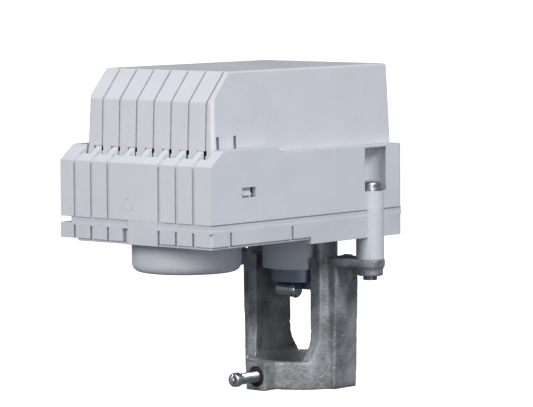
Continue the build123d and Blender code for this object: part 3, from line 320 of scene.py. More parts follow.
def ranged(tree, value, low, high, to_low, to_high):
    """Map Range node's result."""
    node = add(tree, "ShaderNodeMapRange",
               {"Value": value, "From Min": low, "From Max": high, "To Min": to_low, "To Max": to_high})
    return node.outputs["Result"]


def maths(tree, operation, first, second):
    """Math node's result."""
    return add(tree, "ShaderNodeMath", {0: first, 1: second}, operation=operation).outputs[0]


def blended(tree, factor, first, second, mode="MIX"):
    """Mixed colour."""
    node = add(tree, "ShaderNodeMix", {0: factor, 6: first, 7: second}, data_type="RGBA", blend_type=mode)
    return node.outputs[2]


def noise(tree, where, scale, detail, roughness=0.5):
    """Noise value at where."""
    inputs = {"Vector": where, "Scale": scale, "Detail": detail, "Roughness": roughness}
    return add(tree, "ShaderNodeTexNoise", inputs).outputs["Fac"]


def make_mottle_group():
    """Broad and fine patches between two colours."""
    group, enter, leave = new_group(
        "Actuator mottle",
        [("Where", "NodeSocketVector", None), ("Scale", "NodeSocketFloat", 60.0),
         ("Dark", "NodeSocketColor", None), ("Light", "NodeSocketColor", None)],
        [("Color", "NodeSocketColor"), ("Mask", "NodeSocketFloat")])
    where = enter.outputs["Where"]
    fine_scale = maths(group, "MULTIPLY", enter.outputs["Scale"], 11.0)
    broad = noise(group, where, enter.outputs["Scale"], 5.0)
    fine = noise(group, where, fine_scale, 3.0)
    both = maths(group, "ADD", maths(group, "MULTIPLY", broad, 0.65), maths(group, "MULTIPLY", fine, 0.35))
    mask = ranged(group, both, 0.36, 0.64, 0.0, 1.0)
    patches = blended(group, mask, enter.outputs["Dark"], enter.outputs["Light"])
    group.links.new(patches, leave.inputs["Color"])
    group.links.new(mask, leave.inputs["Mask"])
    return group


def make_edge_group():
    """Worn edges and the rounded normal that goes with them."""
    group, enter, leave = new_group(
        "Actuator edges",
        [("Where", "NodeSocketVector", None), ("Radius", "NodeSocketFloat", 0.0004),
         ("Breakup", "NodeSocketFloat", 500.0)],
        [("Mask", "NodeSocketFloat"), ("Normal", "NodeSocketVector")])
    bevel = add(group, "ShaderNodeBevel", {"Radius": enter.outputs["Radius"]}, samples=6)
    flat = add(group, "ShaderNodeNewGeometry").outputs["Normal"]
    dot = add(group, "ShaderNodeVectorMath", {0: bevel.outputs["Normal"], 1: flat},
              operation="DOT_PRODUCT").outputs["Value"]
    rim = ranged(group, dot, 0.99, 0.80, 0.0, 1.0)
    broken = noise(group, enter.outputs["Where"], enter.outputs["Breakup"], 4.0)
    chips = ranged(group, broken, 0.35, 0.65, 0.15, 1.0)
    group.links.new(maths(group, "MULTIPLY", rim, chips), leave.inputs["Mask"])
    group.links.new(bevel.outputs["Normal"], leave.inputs["Normal"])
    return group


def make_painted_shade_group():
    """Painted shade in corners and recesses, found by ambient occlusion and broken up by noise."""
    group, enter, leave = new_group(
        "Actuator crevices", [("Where", "NodeSocketVector", None), ("Reach", "NodeSocketFloat", 0.004)],
        [("Mask", "NodeSocketFloat")])
    # painted shade: ambient occlusion marks the corners and recesses to be darkened
    shade = add(group, "ShaderNodeAmbientOcclusion", {"Distance": enter.outputs["Reach"]}, samples=4)
    open_sky = shade.outputs["AO"]
    hidden = ranged(group, open_sky, 0.75, 0.25, 0.0, 1.0)
    patchy = ranged(group, noise(group, enter.outputs["Where"], 140.0, 4.0), 0.3, 0.7, 0.4, 1.0)
    group.links.new(maths(group, "MULTIPLY", hidden, patchy), leave.inputs["Mask"])
    return group


def make_grain_group():
    """Height of a spark-eroded mould's fine grain."""
    group, enter, leave = new_group(
        "Actuator grain", [("Where", "NodeSocketVector", None), ("Scale", "NodeSocketFloat", 1500.0)],
        [("Height", "NodeSocketFloat")])
    where = enter.outputs["Where"]
    cells = add(group, "ShaderNodeTexVoronoi", {"Vector": where, "Scale": enter.outputs["Scale"]},
                feature="SMOOTH_F1").outputs["Distance"]
    fine = noise(group, where, maths(group, "MULTIPLY", enter.outputs["Scale"], 1.7), 4.0, 0.6)
    group.links.new(maths(group, "ADD", maths(group, "MULTIPLY", cells, 0.6), fine), leave.inputs["Height"])
    return group


def make_cast_group():
    """Height of a raw die-cast skin: pits, flow marks and grit."""
    group, enter, leave = new_group(
        "Actuator cast skin", [("Where", "NodeSocketVector", None), ("Scale", "NodeSocketFloat", 420.0)],
        [("Height", "NodeSocketFloat"), ("Pits", "NodeSocketFloat")])
    where = enter.outputs["Where"]
    scale = enter.outputs["Scale"]
    grit = noise(group, where, scale, 8.0, 0.68)
    flow = noise(group, where, maths(group, "MULTIPLY", scale, 0.16), 3.0)
    pit_scale = maths(group, "MULTIPLY", scale, 1.3)
    cells = add(group, "ShaderNodeTexVoronoi", {"Vector": where, "Scale": pit_scale},
                feature="F1").outputs["Distance"]
    pits = ranged(group, cells, 0.10, 0.32, 1.0, 0.0)
    height = maths(group, "ADD", grit, maths(group, "MULTIPLY", flow, 0.8))
    height = maths(group, "SUBTRACT", height, maths(group, "MULTIPLY", pits, 0.35))
    group.links.new(height, leave.inputs["Height"])
    group.links.new(pits, leave.inputs["Pits"])
    return group


def make_lathe_group():
    """Height of the fine rings that a lathe leaves round an upright axis."""
    group, enter, leave = new_group(
        "Actuator lathe lines", [("Where", "NodeSocketVector", None), ("Lines", "NodeSocketFloat", 1400.0)],
        [("Height", "NodeSocketFloat")])
    split = add(group, "ShaderNodeSeparateXYZ", {0: enter.outputs["Where"]})
    flat = add(group, "ShaderNodeCombineXYZ", {"X": split.outputs["X"], "Y": split.outputs["Y"]})
    radius = add(group, "ShaderNodeVectorMath", {0: flat.outputs[0]}, operation="LENGTH").outputs["Value"]
    spread = add(group, "ShaderNodeCombineXYZ", {"X": radius, "Z": split.outputs["Z"]})
    lines = noise(group, spread.outputs[0], enter.outputs["Lines"], 3.0, 0.7)
    group.links.new(lines, leave.inputs["Height"])
    return group


def make_brush_group():
    """Height of rolling and brushing marks that run along X."""
    group, enter, leave = new_group(
        "Actuator brush marks", [("Where", "NodeSocketVector", None), ("Scale", "NodeSocketFloat", 1500.0)],
        [("Height", "NodeSocketFloat")])
    stretch = add(group, "ShaderNodeMapping", {"Vector": enter.outputs["Where"], "Scale": (0.02, 1.0, 1.0)})
    marks = noise(group, stretch.outputs[0], enter.outputs["Scale"], 4.0, 0.7)
    group.links.new(marks, leave.inputs["Height"])
    return group


GROUPS = {}


def build_groups():
    """Every shared shader group, built once."""
    GROUPS["mottle"] = make_mottle_group()
    GROUPS["edges"] = make_edge_group()
    GROUPS["painted_corner_shade"] = make_painted_shade_group()
    GROUPS["grain"] = make_grain_group()
    GROUPS["cast"] = make_cast_group()
    GROUPS["lathe"] = make_lathe_group()
    GROUPS["brush"] = make_brush_group()


def grouped(tree, name, inputs):
    """A shared group placed in a material."""
    return add(tree, "ShaderNodeGroup", inputs, node_tree=GROUPS[name])


def shade(value, factor):
    """A colour made darker or lighter."""
    return (*[min(1.0, part * factor) for part in value[:3]], 1.0)


def start_material(name, metallic, centre=(0.0, 0.0, 0.0)):
    """Material with its shader and Object coordinates centred on a piece, in millimetres."""
    material = bpy.data.materials.new(name)
    material.use_nodes = True
    tree = material.node_tree
    tree.nodes.clear()
    shader = add(tree, "ShaderNodeBsdfPrincipled", {"Metallic": metallic})
    tree.links.new(shader.outputs[0], add(tree, "ShaderNodeOutputMaterial").inputs["Surface"])
    where = add(tree, "ShaderNodeTexCoord").outputs["Object"]
    if any(centre):
        shift = [-value * MM for value in centre]
        where = add(tree, "ShaderNodeMapping", {"Vector": where, "Location": shift}).outputs[0]
    return material, tree, shader, where


def surface(name, value, metallic=0.0, rough=(0.45, 0.6), patch=50.0, contrast=0.06, relief="grain",
            relief_scale=1500.0, relief_depth=0.03, edge=0.4, wear=0.25, wear_light=1.3, painted_shade_strength=0.25,
            centre=(0.0, 0.0, 0.0), coat=0.0):
    """Finish with mottled colour, worn edges, painted shade in corners and a relief; lengths in millimetres.
    """
    material, tree, shader, where = start_material(name, metallic, centre)
    mottle = grouped(tree, "mottle", {"Where": where, "Scale": patch, "Dark": shade(value, 1 - contrast),
                                      "Light": shade(value, 1 + contrast)})
    edges = grouped(tree, "edges", {"Where": where, "Radius": edge * MM})
    corners = grouped(tree, "painted_corner_shade", {"Where": where, "Reach": 4 * MM})
    height = grouped(tree, relief, {"Where": where, "Lines" if relief == "lathe" else "Scale": relief_scale})
    worn = blended(tree, maths(tree, "MULTIPLY", edges.outputs["Mask"], wear), mottle.outputs["Color"],
                   shade(value, wear_light))
    # painted shade: corners and recesses that ambient occlusion finds are darkened towards a third of the
    # colour
    with_painted_shade = blended(tree, maths(tree, "MULTIPLY", corners.outputs["Mask"], painted_shade_strength), worn, shade(value, 0.35))
    tree.links.new(with_painted_shade, shader.inputs["Base Color"])
    tree.links.new(ranged(tree, mottle.outputs["Mask"], 0.0, 1.0, *rough), shader.inputs["Roughness"])
    bump = add(tree, "ShaderNodeBump", {"Height": height.outputs["Height"], "Distance": relief_depth * MM,
                                        "Strength": 1.0, "Normal": edges.outputs["Normal"]})
    tree.links.new(bump.outputs[0], shader.inputs["Normal"])
    shader.inputs["Coat Weight"].default_value = coat
    return material


def casting_material(name, value):
    """Raw aluminium casting with a machined collar bore, foot and ear faces."""
    material, tree, shader, where = start_material(name, 0.55)
    mottle = grouped(tree, "mottle", {"Where": where, "Scale": 90.0, "Dark": shade(value, 0.5),
                                      "Light": shade(value, 1.5)})
    skin = grouped(tree, "cast", {"Where": where, "Scale": 420.0})
    corners = grouped(tree, "painted_corner_shade", {"Where": where, "Reach": 6 * MM})
    lathe = grouped(tree, "lathe", {"Where": where, "Lines": 1500.0})
    split = add(tree, "ShaderNodeSeparateXYZ", {0: where})
    flat = add(tree, "ShaderNodeCombineXYZ", {"X": split.outputs["X"], "Y": split.outputs["Y"]})
    radius = add(tree, "ShaderNodeVectorMath", {0: flat.outputs[0]}, operation="LENGTH").outputs["Value"]
    bored = maths(tree, "LESS_THAN", radius, COLLAR_BORE_R * MM)
    low = maths(tree, "LESS_THAN", split.outputs["Z"], COLLAR_BORE_TOP * MM)
    foot = maths(tree, "LESS_THAN", split.outputs["Z"], FOOT_FACE_Z * MM)
    top = maths(tree, "GREATER_THAN", split.outputs["Z"], EAR_FACE_Z * MM)
    cut = maths(tree, "MAXIMUM", maths(tree, "MULTIPLY", bored, low), maths(tree, "MAXIMUM", foot, top))
    raw = blended(tree, maths(tree, "MULTIPLY", skin.outputs["Pits"], 0.35), mottle.outputs["Color"],
                  shade(value, 0.45))
    colour_now = blended(tree, cut, raw, shade(value, 1.45))
    # painted shade: corners and recesses that ambient occlusion finds are darkened towards three tenths of
    # the colour
    painted_shade_mask = maths(tree, "MULTIPLY", corners.outputs["Mask"], 0.35)
    with_painted_shade = blended(tree, painted_shade_mask, colour_now, shade(value, 0.3))
    tree.links.new(with_painted_shade, shader.inputs["Base Color"])
    rough = ranged(tree, skin.outputs["Height"], 0.5, 1.2, 0.42, 0.68)
    rough = maths(tree, "SUBTRACT", rough, maths(tree, "MULTIPLY", cut, 0.18))
    tree.links.new(rough, shader.inputs["Roughness"])
    raw_skin = add(tree, "ShaderNodeBump", {"Height": skin.outputs["Height"], "Distance": 0.22 * MM})
    lines = add(tree, "ShaderNodeBump", {"Height": lathe.outputs["Height"], "Distance": 0.03 * MM})
    normal = add(tree, "ShaderNodeMix", {0: cut, 4: raw_skin.outputs[0], 5: lines.outputs[0]},
                 data_type="VECTOR")
    tree.links.new(normal.outputs[1], shader.inputs["Normal"])
    return material


def board_material(name):
    """Green solder mask over copper tracks, with tinned pads on a grid."""
    material, tree, shader, where = start_material(name, 0.0)
    mask_green = srgb(26, 98, 56)
    track_green = srgb(52, 128, 76)
    tracks = add(tree, "ShaderNodeTexBrick", {"Vector": where, "Scale": 120.0, "Color1": track_green,
                                              "Color2": mask_green, "Mortar": shade(mask_green, 0.8),
                                              "Mortar Size": 0.035, "Bias": -0.3})
    dots = add(tree, "ShaderNodeTexVoronoi", {"Vector": where, "Scale": 260.0, "Randomness": 0.35},
               feature="F1")
    pads = ranged(tree, dots.outputs["Distance"], 0.20, 0.24, 1.0, 0.0)
    few = maths(tree, "GREATER_THAN", noise(tree, where, 70.0, 2.0), 0.53)
    tin = maths(tree, "MULTIPLY", pads, few)
    mottle = grouped(tree, "mottle", {"Where": where, "Scale": 80.0, "Dark": srgb(150, 150, 150),
                                      "Light": srgb(255, 255, 255)})
    varied = blended(tree, 0.5, tracks.outputs["Color"], mottle.outputs["Color"], "MULTIPLY")
    tree.links.new(blended(tree, tin, varied, srgb(196, 198, 200)), shader.inputs["Base Color"])
    tree.links.new(tin, shader.inputs["Metallic"])
    tree.links.new(ranged(tree, mottle.outputs["Mask"], 0.0, 1.0, 0.25, 0.4), shader.inputs["Roughness"])
    edges = grouped(tree, "edges", {"Where": where, "Radius": 0.15 * MM})
    bump = add(tree, "ShaderNodeBump", {"Height": tracks.outputs["Fac"], "Distance": 0.03 * MM,
                                        "Normal": edges.outputs["Normal"]})
    tree.links.new(bump.outputs[0], shader.inputs["Normal"])
    return material


FINISHES = {}


def finish(key, name, value, **look):
    """A finish, kept under its short name."""
    FINISHES[key] = surface(name, value, **look)


def build_finishes(colours):
    """Every finish of the object."""
    moulded = {"contrast": 0.025, "relief_depth": 0.045, "wear": 0.2, "wear_light": 1.12}
    insulation = {"rough": (0.35, 0.5), "patch": 150.0, "relief_depth": 0.02}
    finish("housing", "Housing plastic", colours.housing, **moulded)
    finish("cover", "Cover plastic", colours.cover, rough=(0.42, 0.55), **moulded)
    finish("base", "Base paint", colours.base, rough=(0.38, 0.52), contrast=0.035, relief_scale=700.0,
           relief_depth=0.07, edge=0.6, wear_light=1.15)
    FINISHES["casting"] = casting_material("Raw casting", colours.casting)
    finish("steel", "Turned steel", colours.steel, metallic=1.0, rough=(0.28, 0.42), contrast=0.12,
           relief="lathe", relief_scale=1600.0, relief_depth=0.02, edge=0.25)
    finish("zinc", "Zinc plated steel", colours.zinc, metallic=1.0, rough=(0.24, 0.4), contrast=0.08,
           patch=120.0, relief="brush", relief_depth=0.015, edge=0.2)
    finish("screw", "Zinc plated screw", colours.zinc, metallic=1.0, rough=(0.22, 0.38), contrast=0.1,
           patch=300.0, relief_scale=2500.0, relief_depth=0.012, edge=0.15)
    finish("bearing", "Ground bearing steel", srgb(215, 217, 220), metallic=1.0, rough=(0.1, 0.2),
           relief="lathe", relief_scale=2600.0, relief_depth=0.005, edge=0.15)
    finish("brass", "Turned brass", colours.brass, metallic=1.0, rough=(0.22, 0.36), contrast=0.1,
           relief="lathe", relief_scale=1500.0, relief_depth=0.015, edge=0.2)
    finish("coupling", "Nickel plated coupling", srgb(138, 149, 168), metallic=0.45, rough=(0.34, 0.5),
           contrast=0.1, relief="lathe", relief_scale=1500.0, relief_depth=0.02, edge=0.3)
    finish("gear", "Gear plastic", srgb(226, 224, 212), rough=(0.32, 0.45), contrast=0.04,
           relief_scale=900.0, relief_depth=0.02, edge=0.12)
    finish("bush", "Bush plastic", srgb(92, 102, 118), rough=(0.35, 0.5), contrast=0.1,
           relief="lathe", relief_scale=900.0, relief_depth=0.03, edge=0.25)
    finish("black", "Black plastic", srgb(38, 39, 42), rough=(0.4, 0.55), contrast=0.15,
           relief_depth=0.03, edge=0.2, wear_light=2.2)
    finish("rubber", "Seal rubber", srgb(30, 30, 31), rough=(0.7, 0.85), contrast=0.2,
           relief_scale=1100.0, relief_depth=0.04, edge=0.3, wear_light=1.8)
    finish("terminal", "Terminal plastic", srgb(46, 132, 88), rough=(0.35, 0.5), contrast=0.06,
           relief_depth=0.02, edge=0.2)
    finish("film", "Capacitor film", srgb(214, 186, 96), rough=(0.18, 0.3), contrast=0.06,
           relief="brush", relief_scale=500.0, relief_depth=0.03, edge=0.4, coat=0.4)
    finish("motor", "Drawn motor can", colours.zinc, metallic=1.0, rough=(0.26, 0.4), contrast=0.1,
           relief="lathe", relief_scale=900.0, relief_depth=0.025, edge=0.3,
           centre=(MOTOR_AXIS_X, 0.0, 0.0))
    FINISHES["board"] = board_material("Circuit board")
    finish("chip", "Chip epoxy", srgb(28, 29, 31), rough=(0.5, 0.62), contrast=0.12, patch=200.0,
           relief_scale=2500.0, relief_depth=0.02, edge=0.1, wear_light=1.8)
    finish("tin", "Tinned legs", srgb(206, 208, 210), metallic=1.0, rough=(0.25, 0.4), contrast=0.1,
           patch=400.0, relief_scale=2500.0, relief_depth=0.01, edge=0.08)
    finish("red", "Red insulation", srgb(176, 38, 34), contrast=0.08, edge=0.1, **insulation)
    finish("blue", "Blue insulation", srgb(44, 84, 158), contrast=0.08, edge=0.1, **insulation)
    finish("relay", "Relay cover", srgb(40, 88, 142), rough=(0.28, 0.42), contrast=0.06, patch=120.0,
           relief_depth=0.02, edge=0.25)
    finish("white", "White nylon", srgb(232, 231, 224), contrast=0.04, edge=0.15, **insulation)


NODE_FINISH = {
    "lower_housing": "housing", "top_cover": "cover", "base_plate": "base", "cover_seal": "rubber",
    "cover_latch": "housing", "entry_plug": "black", "yoke": "casting", "housing_screws": "screw",
    "screw_washers": "screw", "yoke_inserts": "steel", "neck_screw": "screw", "guide_bush": "bush",
    "stem_coupling": "coupling", "lock_pin": "bearing", "lock_clip": "zinc", "lead_screw": "steel",
    "trip_cam": "black", "drive_gear": "gear", "drive_nut": "brass", "reduction_gear_2": "gear",
    "reduction_gear_1": "gear", "motor_pinion": "brass", "motor_shaft": "steel", "motor_case": "motor",
    "bearing_outer_ring": "bearing", "bearing_inner_ring": "bearing", "bearing_balls": "bearing",
    "gear_plate": "zinc", "bearing_bridge": "zinc", "spindle_bush": "brass", "gear_axle_1": "steel",
    "gear_axle_2": "steel", "plate_pillars": "brass", "pillar_screws": "screw", "circuit_board": "board",
    "board_spacers": "brass", "board_screws": "screw", "terminal_block": "terminal",
    "terminal_screws": "screw", "motor_capacitor": "film", "limit_switch_lower": "black",
    "limit_switch_upper": "black", "switch_bracket": "zinc",
}


def dress(obj, finish_name, body):
    """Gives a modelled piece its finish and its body."""
    obj.data.materials.clear()
    obj.data.materials.append(FINISHES[finish_name])
    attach(obj, body)


# ---------------------------------------------------------------- castings and screws

class ACTUATOR_OT_finishes(bpy.types.Operator):
    """Build the finishes and put them on the carried-over parts"""
    bl_idname = "actuator.finishes"
    bl_label = "Finishes"

    def execute(self, context):
        build_groups()
        build_finishes(context.scene.actuator_colours)
        for node, finish_name in NODE_FINISH.items():
            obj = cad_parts[node]
            if not obj.material_slots:
                raise RuntimeError(f"{node} has no material slot")
            for slot in obj.material_slots:
                slot.material = FINISHES[finish_name]
        return {"FINISHED"}


class ACTUATOR_OT_yoke(bpy.types.Operator):
    """Model the yoke casting with rounded edges and a raw skin"""
    bl_idname = "actuator.yoke"
    bl_label = "Yoke casting"

    def execute(self, context):
        sizes = context.scene.actuator_sizes
        obj = node_copy("yoke", "yoke_casting")
        use(obj, "REMESH", mode="VOXEL", voxel_size=sizes.casting_voxel, use_smooth_shade=True)
        use(obj, "SMOOTH", factor=0.5, iterations=4)
        lumps = bpy.data.textures.new("Casting lumps", "CLOUDS")
        lumps.noise_scale = 3.5 * MM
        lumps.noise_depth = 3
        use(obj, "DISPLACE", texture=lumps, texture_coords="LOCAL", strength=sizes.casting_skin,
            mid_level=0.5)
        if not obj.data.polygons:
            raise RuntimeError("the casting lost its faces")
        dress(obj, "casting", "housing")
        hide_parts("yoke")
        return {"FINISHED"}


def screw_head(radius, height):
    """Slotted cheese head that stands down from z = 0, with a dished top side."""
    head = turned("neck_head", [(0.0, 0.45), (2.9, 0.45), (3.1, 0.0), (radius - 0.3, 0.0), (radius, -0.3),
                                (radius, -height + 0.7), (radius - 0.25, -height + 0.25),
                                (radius - 0.8, -height), (0.0, -height)], steps=40)
    slot_half = 0.6
    slot_depth = 1.6
    slot_tool = box_part("neck_slot", (-6, -slot_half, -height - 1), (6, slot_half, -height + slot_depth))
    use(head, "BOOLEAN", operation="DIFFERENCE", object=slot_tool, solver="EXACT")
    bpy.data.objects.remove(slot_tool)
    return head


class ACTUATOR_OT_neck_screw(bpy.types.Operator):
    """Model the slotted neck screw with its thread and cone point"""
    bl_idname = "actuator.neck_screw"
    bl_label = "Neck screw"

    def execute(self, context):
        sizes = context.scene.actuator_sizes
        pitch = sizes.neck_pitch / MM
        low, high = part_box("neck_screw")
        head_end = low.x / MM
        tip = high.x / MM
        axis_z = (low.z + high.z) / 2 / MM
        head_r = (high.z - low.z) / 2 / MM
        head_l = 3.8
        point_l = 3.0
        shank_r = 3.0
        root_r = shank_r - 0.61 * pitch
        thread_l = tip - head_end - head_l - point_l
        turns = math.ceil(thread_l / pitch) + 1
        profile = [(root_r, 0.0), (root_r, 0.12 * pitch), (shank_r, 0.44 * pitch), (shank_r, 0.56 * pitch),
                   (root_r, 0.88 * pitch), (root_r, pitch)]
        thread = threaded("neck_thread", pitch, turns, sizes.thread_steps, profile)
        cut_off(thread, 0.4 * pitch, False)
        cut_off(thread, thread_l, True)
        edit(thread)
        leave_edit(thread)
        point = turned("neck_point", [(0.0, thread_l - 0.3), (root_r, thread_l - 0.3),
                                      (root_r, thread_l + 0.6), (1.1, thread_l + point_l),
                                      (0.0, thread_l + point_l)], steps=24)
        obj = settle(thread, [point, screw_head(head_r, head_l)])
        obj.name = "neck_screw_turned"
        turn_to_x(obj, (head_end + head_l, 0.0, axis_z))
        dress(obj, "screw", "neck_screw")
        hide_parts("neck_screw")
        return {"FINISHED"}


class ACTUATOR_OT_lead_screw(bpy.types.Operator):
    """Model the lead screw with its trapezoidal thread"""
    bl_idname = "actuator.lead_screw"
    bl_label = "Lead screw"

    def execute(self, context):
        sizes = context.scene.actuator_sizes
        lead = sizes.lead_pitch / MM
        low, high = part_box("lead_screw")
        crest_r = (high.x - low.x) / 2 / MM
        root_r = crest_r - sizes.thread_depth / MM
        foot = low.z / MM
        top = high.z / MM
        thread_top = top - 5.2
        half = lead / 2
        profile = []
        for start in (0.0, half):
            profile += [(root_r, start), (root_r, start + 0.20 * half), (crest_r, start + 0.36 * half),
                        (crest_r, start + 0.64 * half), (root_r, start + 0.80 * half)]
        profile.append((root_r, lead))
        turns = math.ceil((thread_top - foot) / lead) + 1
        thread = threaded("lead_thread", lead, turns, sizes.thread_steps, profile)
        cut_off(thread, lead * 0.5, False)
        cut_off(thread, lead * 0.5 + thread_top - foot, True)
        thread.location = (0.0, 0.0, (foot - lead * 0.5) * MM)
        settle(thread)
        edit(thread)
        leave_edit(thread, 25.0)
        neck = turned("lead_end", [(0.0, thread_top - 0.2), (root_r, thread_top - 0.2),
                                   (crest_r, thread_top + 0.4), (crest_r, top - 0.7),
                                   (crest_r - 0.8, top), (1.1, top), (0.0, top - 1.3)], steps=32)
        obj = settle(thread, [neck])
        obj.name = "lead_screw_turned"
        dress(obj, "steel", "spindle")
        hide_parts("lead_screw")
        return {"FINISHED"}


# ---------------------------------------------------------------- circuit board

def gathered(parts, name):
    """Parts joined into one piece under its name."""
    obj = settle(parts[0], parts[1:])
    obj.name = name
    obj.data.name = name
    return obj


def on_board(x, y, size, height, lift=0.0, bevel=0.2, name="board_item"):
    """Bevelled block of (length, width) centred at x, y on the board, in millimetres."""
    foot = BOARD_TOP + lift
    low = (x - size[0] / 2, y - size[1] / 2, foot)
    high = (x + size[0] / 2, y + size[1] / 2, foot + height)
    return box_part(name, low, high, bevel)


def engrave(obj, x, y, size, height, lift, name):
    """Cuts a block out of a piece that stands on the board."""
    tool = on_board(x, y, size, height, lift, 0.0, name)
    use(obj, "BOOLEAN", operation="DIFFERENCE", object=tool, solver="EXACT")
    bpy.data.objects.remove(tool)


def add_relays(tall):
    """Two relays, each a case with a raised lid on a wider foot."""
    y = -25.0
    relays = []
    for x in (-58.0, -40.5):
        relays.append(on_board(x, y, (15.4, 10.4), height=tall, lift=0.3, bevel=0.8))
        relays.append(on_board(x, y, (13.2, 8.2), height=0.5, lift=tall + 0.1, bevel=0.2))
        relays.append(on_board(x, y, (16.0, 11.0), height=1.2, lift=0.0, bevel=0.3))
    dress(gathered(relays, "board_relays"), "relay", "housing")


def add_chips():
    """Three chips, each with a row of legs along two sides."""
    end_gap = 0.7
    overhang = 0.45
    chips = []
    legs = []
    for x, y, size, count in ((-48.0, 4.0, (10.0, 10.0), 10), (-84.0, 8.0, (9.8, 4.6), 7),
                              (-104.0, -2.0, (4.6, 4.6), 3)):
        chips.append(on_board(x, y, size, height=1.5, lift=0.15, bevel=0.15))
        pitch = (size[0] - 2 * end_gap) / (count - 1)
        for side in (-1, 1):
            row = y + side * (size[1] / 2 + overhang)
            first = on_board(x - size[0] / 2 + end_gap, row, (0.42, 1.3), height=0.75, bevel=0.12)
            legs.append(first)
            for number in range(1, count):
                legs.append(copied(first, "leg", (pitch * number, 0.0, 0.0)))
    dress(gathered(chips, "board_chips"), "chip", "housing")
    dress(gathered(legs, "chip_legs"), "tin", "housing")


def add_selector():
    """Selector switch with four levers, two of them pushed over."""
    lever_pitch = 2.54
    throw = 1.2
    selector = [on_board(-34.0, 16.0, (10.6, 6.2), height=3.2, bevel=0.3)]
    levers = [on_board(-37.8, 16.6, (1.2, 1.4), height=0.9, lift=3.1, bevel=0.2)]
    for number, pushed in enumerate((0, 1, 1)):
        levers.append(copied(levers[0], "lever", (lever_pitch * (number + 1), -throw * pushed, 0.0)))
    dress(gathered(selector, "selector_switch"), "red", "housing")
    dress(gathered(levers, "selector_levers"), "white", "housing")


def add_trimmer():
    """Trimmer with a slotted round rotor."""
    centre = (-34.0, -4.0)
    rotor_foot = BOARD_TOP + 3.9
    rotor_top = BOARD_TOP + 4.9
    trimmer = on_board(*centre, (6.6, 6.6), height=4.0, bevel=0.4, name="trimmer")
    rotor = turned("trimmer_rotor", [(0.0, rotor_foot), (2.3, rotor_foot), (2.3, BOARD_TOP + 4.6),
                                     (2.0, rotor_top), (0.0, rotor_top)], centre, 28)
    engrave(rotor, *centre, (5.0, 0.6), height=1.0, lift=4.45, name="rotor_groove")
    dress(trimmer, "relay", "housing")
    dress(rotor, "white", "housing")


def add_header():
    """Five-pin header that takes the wires of the limit switches."""
    pin_pitch = 2.5
    header = [on_board(-26.0, 3.0, (4.6, 13.0), height=5.4, bevel=0.3)]
    pins = [on_board(-26.0, -2.0, (0.64, 0.64), height=7.6, bevel=0.12)]
    for number in range(1, 5):
        pins.append(copied(pins[0], "pin", (0.0, pin_pitch * number, 0.0)))
    dress(gathered(header, "board_header"), "white", "housing")
    dress(gathered(pins, "header_pins"), "tin", "housing")


class ACTUATOR_OT_board_blocks(bpy.types.Operator):
    """Model the relays, chips, trimmer and selector switch on the circuit board"""
    bl_idname = "actuator.board_blocks"
    bl_label = "Board relays and chips"

    def execute(self, context):
        add_relays(context.scene.actuator_sizes.relay_height / MM)
        add_chips()
        add_selector()
        add_trimmer()
        add_header()
        return {"FINISHED"}


def capacitor(x, y, radius, tall):
    """Crimped sleeve and scored lid of a round capacitor."""
    foot = BOARD_TOP
    top = BOARD_TOP + tall
    sleeve = turned("sleeve", [(0.0, foot), (radius - 0.3, foot), (radius, foot + 0.3),
                               (radius, foot + 1.2), (radius - 0.35, foot + 1.6), (radius, foot + 2.0),
                               (radius, top - 0.4), (radius - 0.4, top), (radius - 0.8, top),
                               (0.0, top - 0.2)], (x, y), 36)
    lid = turned("lid", [(0.0, top - 0.3), (radius - 0.7, top - 0.3), (radius - 0.85, top + 0.05),
                         (0.0, top + 0.12)], (x, y), 36)
    for score in ((1.6 * radius, 0.3), (0.3, 1.6 * radius)):
        engrave(lid, x, y, score, height=0.6, lift=tall - 0.05, name="score")
    return sleeve, lid


def add_capacitors():
    """Three round capacitors."""
    sleeves = []
    lids = []
    for x, y, radius, tall in ((-64.0, 12.0, 4.0, 10.5), (-62.0, 0.0, 4.0, 10.5), (-74.0, 14.5, 2.6, 7.5)):
        sleeve, lid = capacitor(x, y, radius, tall)
        sleeves.append(sleeve)
        lids.append(lid)
    dress(gathered(sleeves, "capacitor_sleeves"), "black", "housing")
    dress(gathered(lids, "capacitor_lids"), "tin", "housing")


def add_lamp(name, finish_name, x):
    """Small domed lamp with a collar."""
    foot = BOARD_TOP
    lamp = turned(name, [(0.0, foot), (1.9, foot), (1.9, foot + 0.8), (1.5, foot + 0.8), (1.5, foot + 3.0),
                         (1.3, foot + 3.7), (0.8, foot + 4.2), (0.0, foot + 4.4)], (x, -13.0), 28, 50.0)
    dress(lamp, finish_name, "housing")


def add_resistors():
    """Chip resistors, some along the board and some across it, with tinned ends."""
    bodies = []
    ends = []
    for x, y, across in ((-56.0, 9.0, False), (-56.0, 6.0, False), (-56.0, 3.0, False),
                         (-41.0, -1.0, True), (-41.0, -4.0, True), (-41.0, 10.0, True),
                         (-80.0, 2.0, True), (-84.0, 2.0, True), (-88.0, 2.0, True),
                         (-92.0, 12.0, False), (-92.0, 9.0, False), (-98.0, 4.0, True)):
        body = (1.3, 2.2) if across else (2.2, 1.3)
        end = (1.35, 0.55) if across else (0.55, 1.35)
        bodies.append(on_board(x, y, body, height=0.7, lift=0.05, bevel=0.08))
        for side in (-1, 1):
            shift = (0.0, side * 1.3) if across else (side * 1.3, 0.0)
            ends.append(on_board(x + shift[0], y + shift[1], end, height=0.76, bevel=0.1))
    dress(gathered(bodies, "chip_resistors"), "chip", "housing")
    dress(gathered(ends, "resistor_ends"), "tin", "housing")


class ACTUATOR_OT_board_small(bpy.types.Operator):
    """Model the round capacitors, lamps and chip resistors on the circuit board"""
    bl_idname = "actuator.board_small"
    bl_label = "Board small parts"

    def execute(self, context):
        add_capacitors()
        add_lamp("lamp_run", "terminal", -42.0)
        add_lamp("lamp_fault", "red", -47.0)
        add_resistors()
        return {"FINISHED"}


# ---------------------------------------------------------------- wires, levers and marks

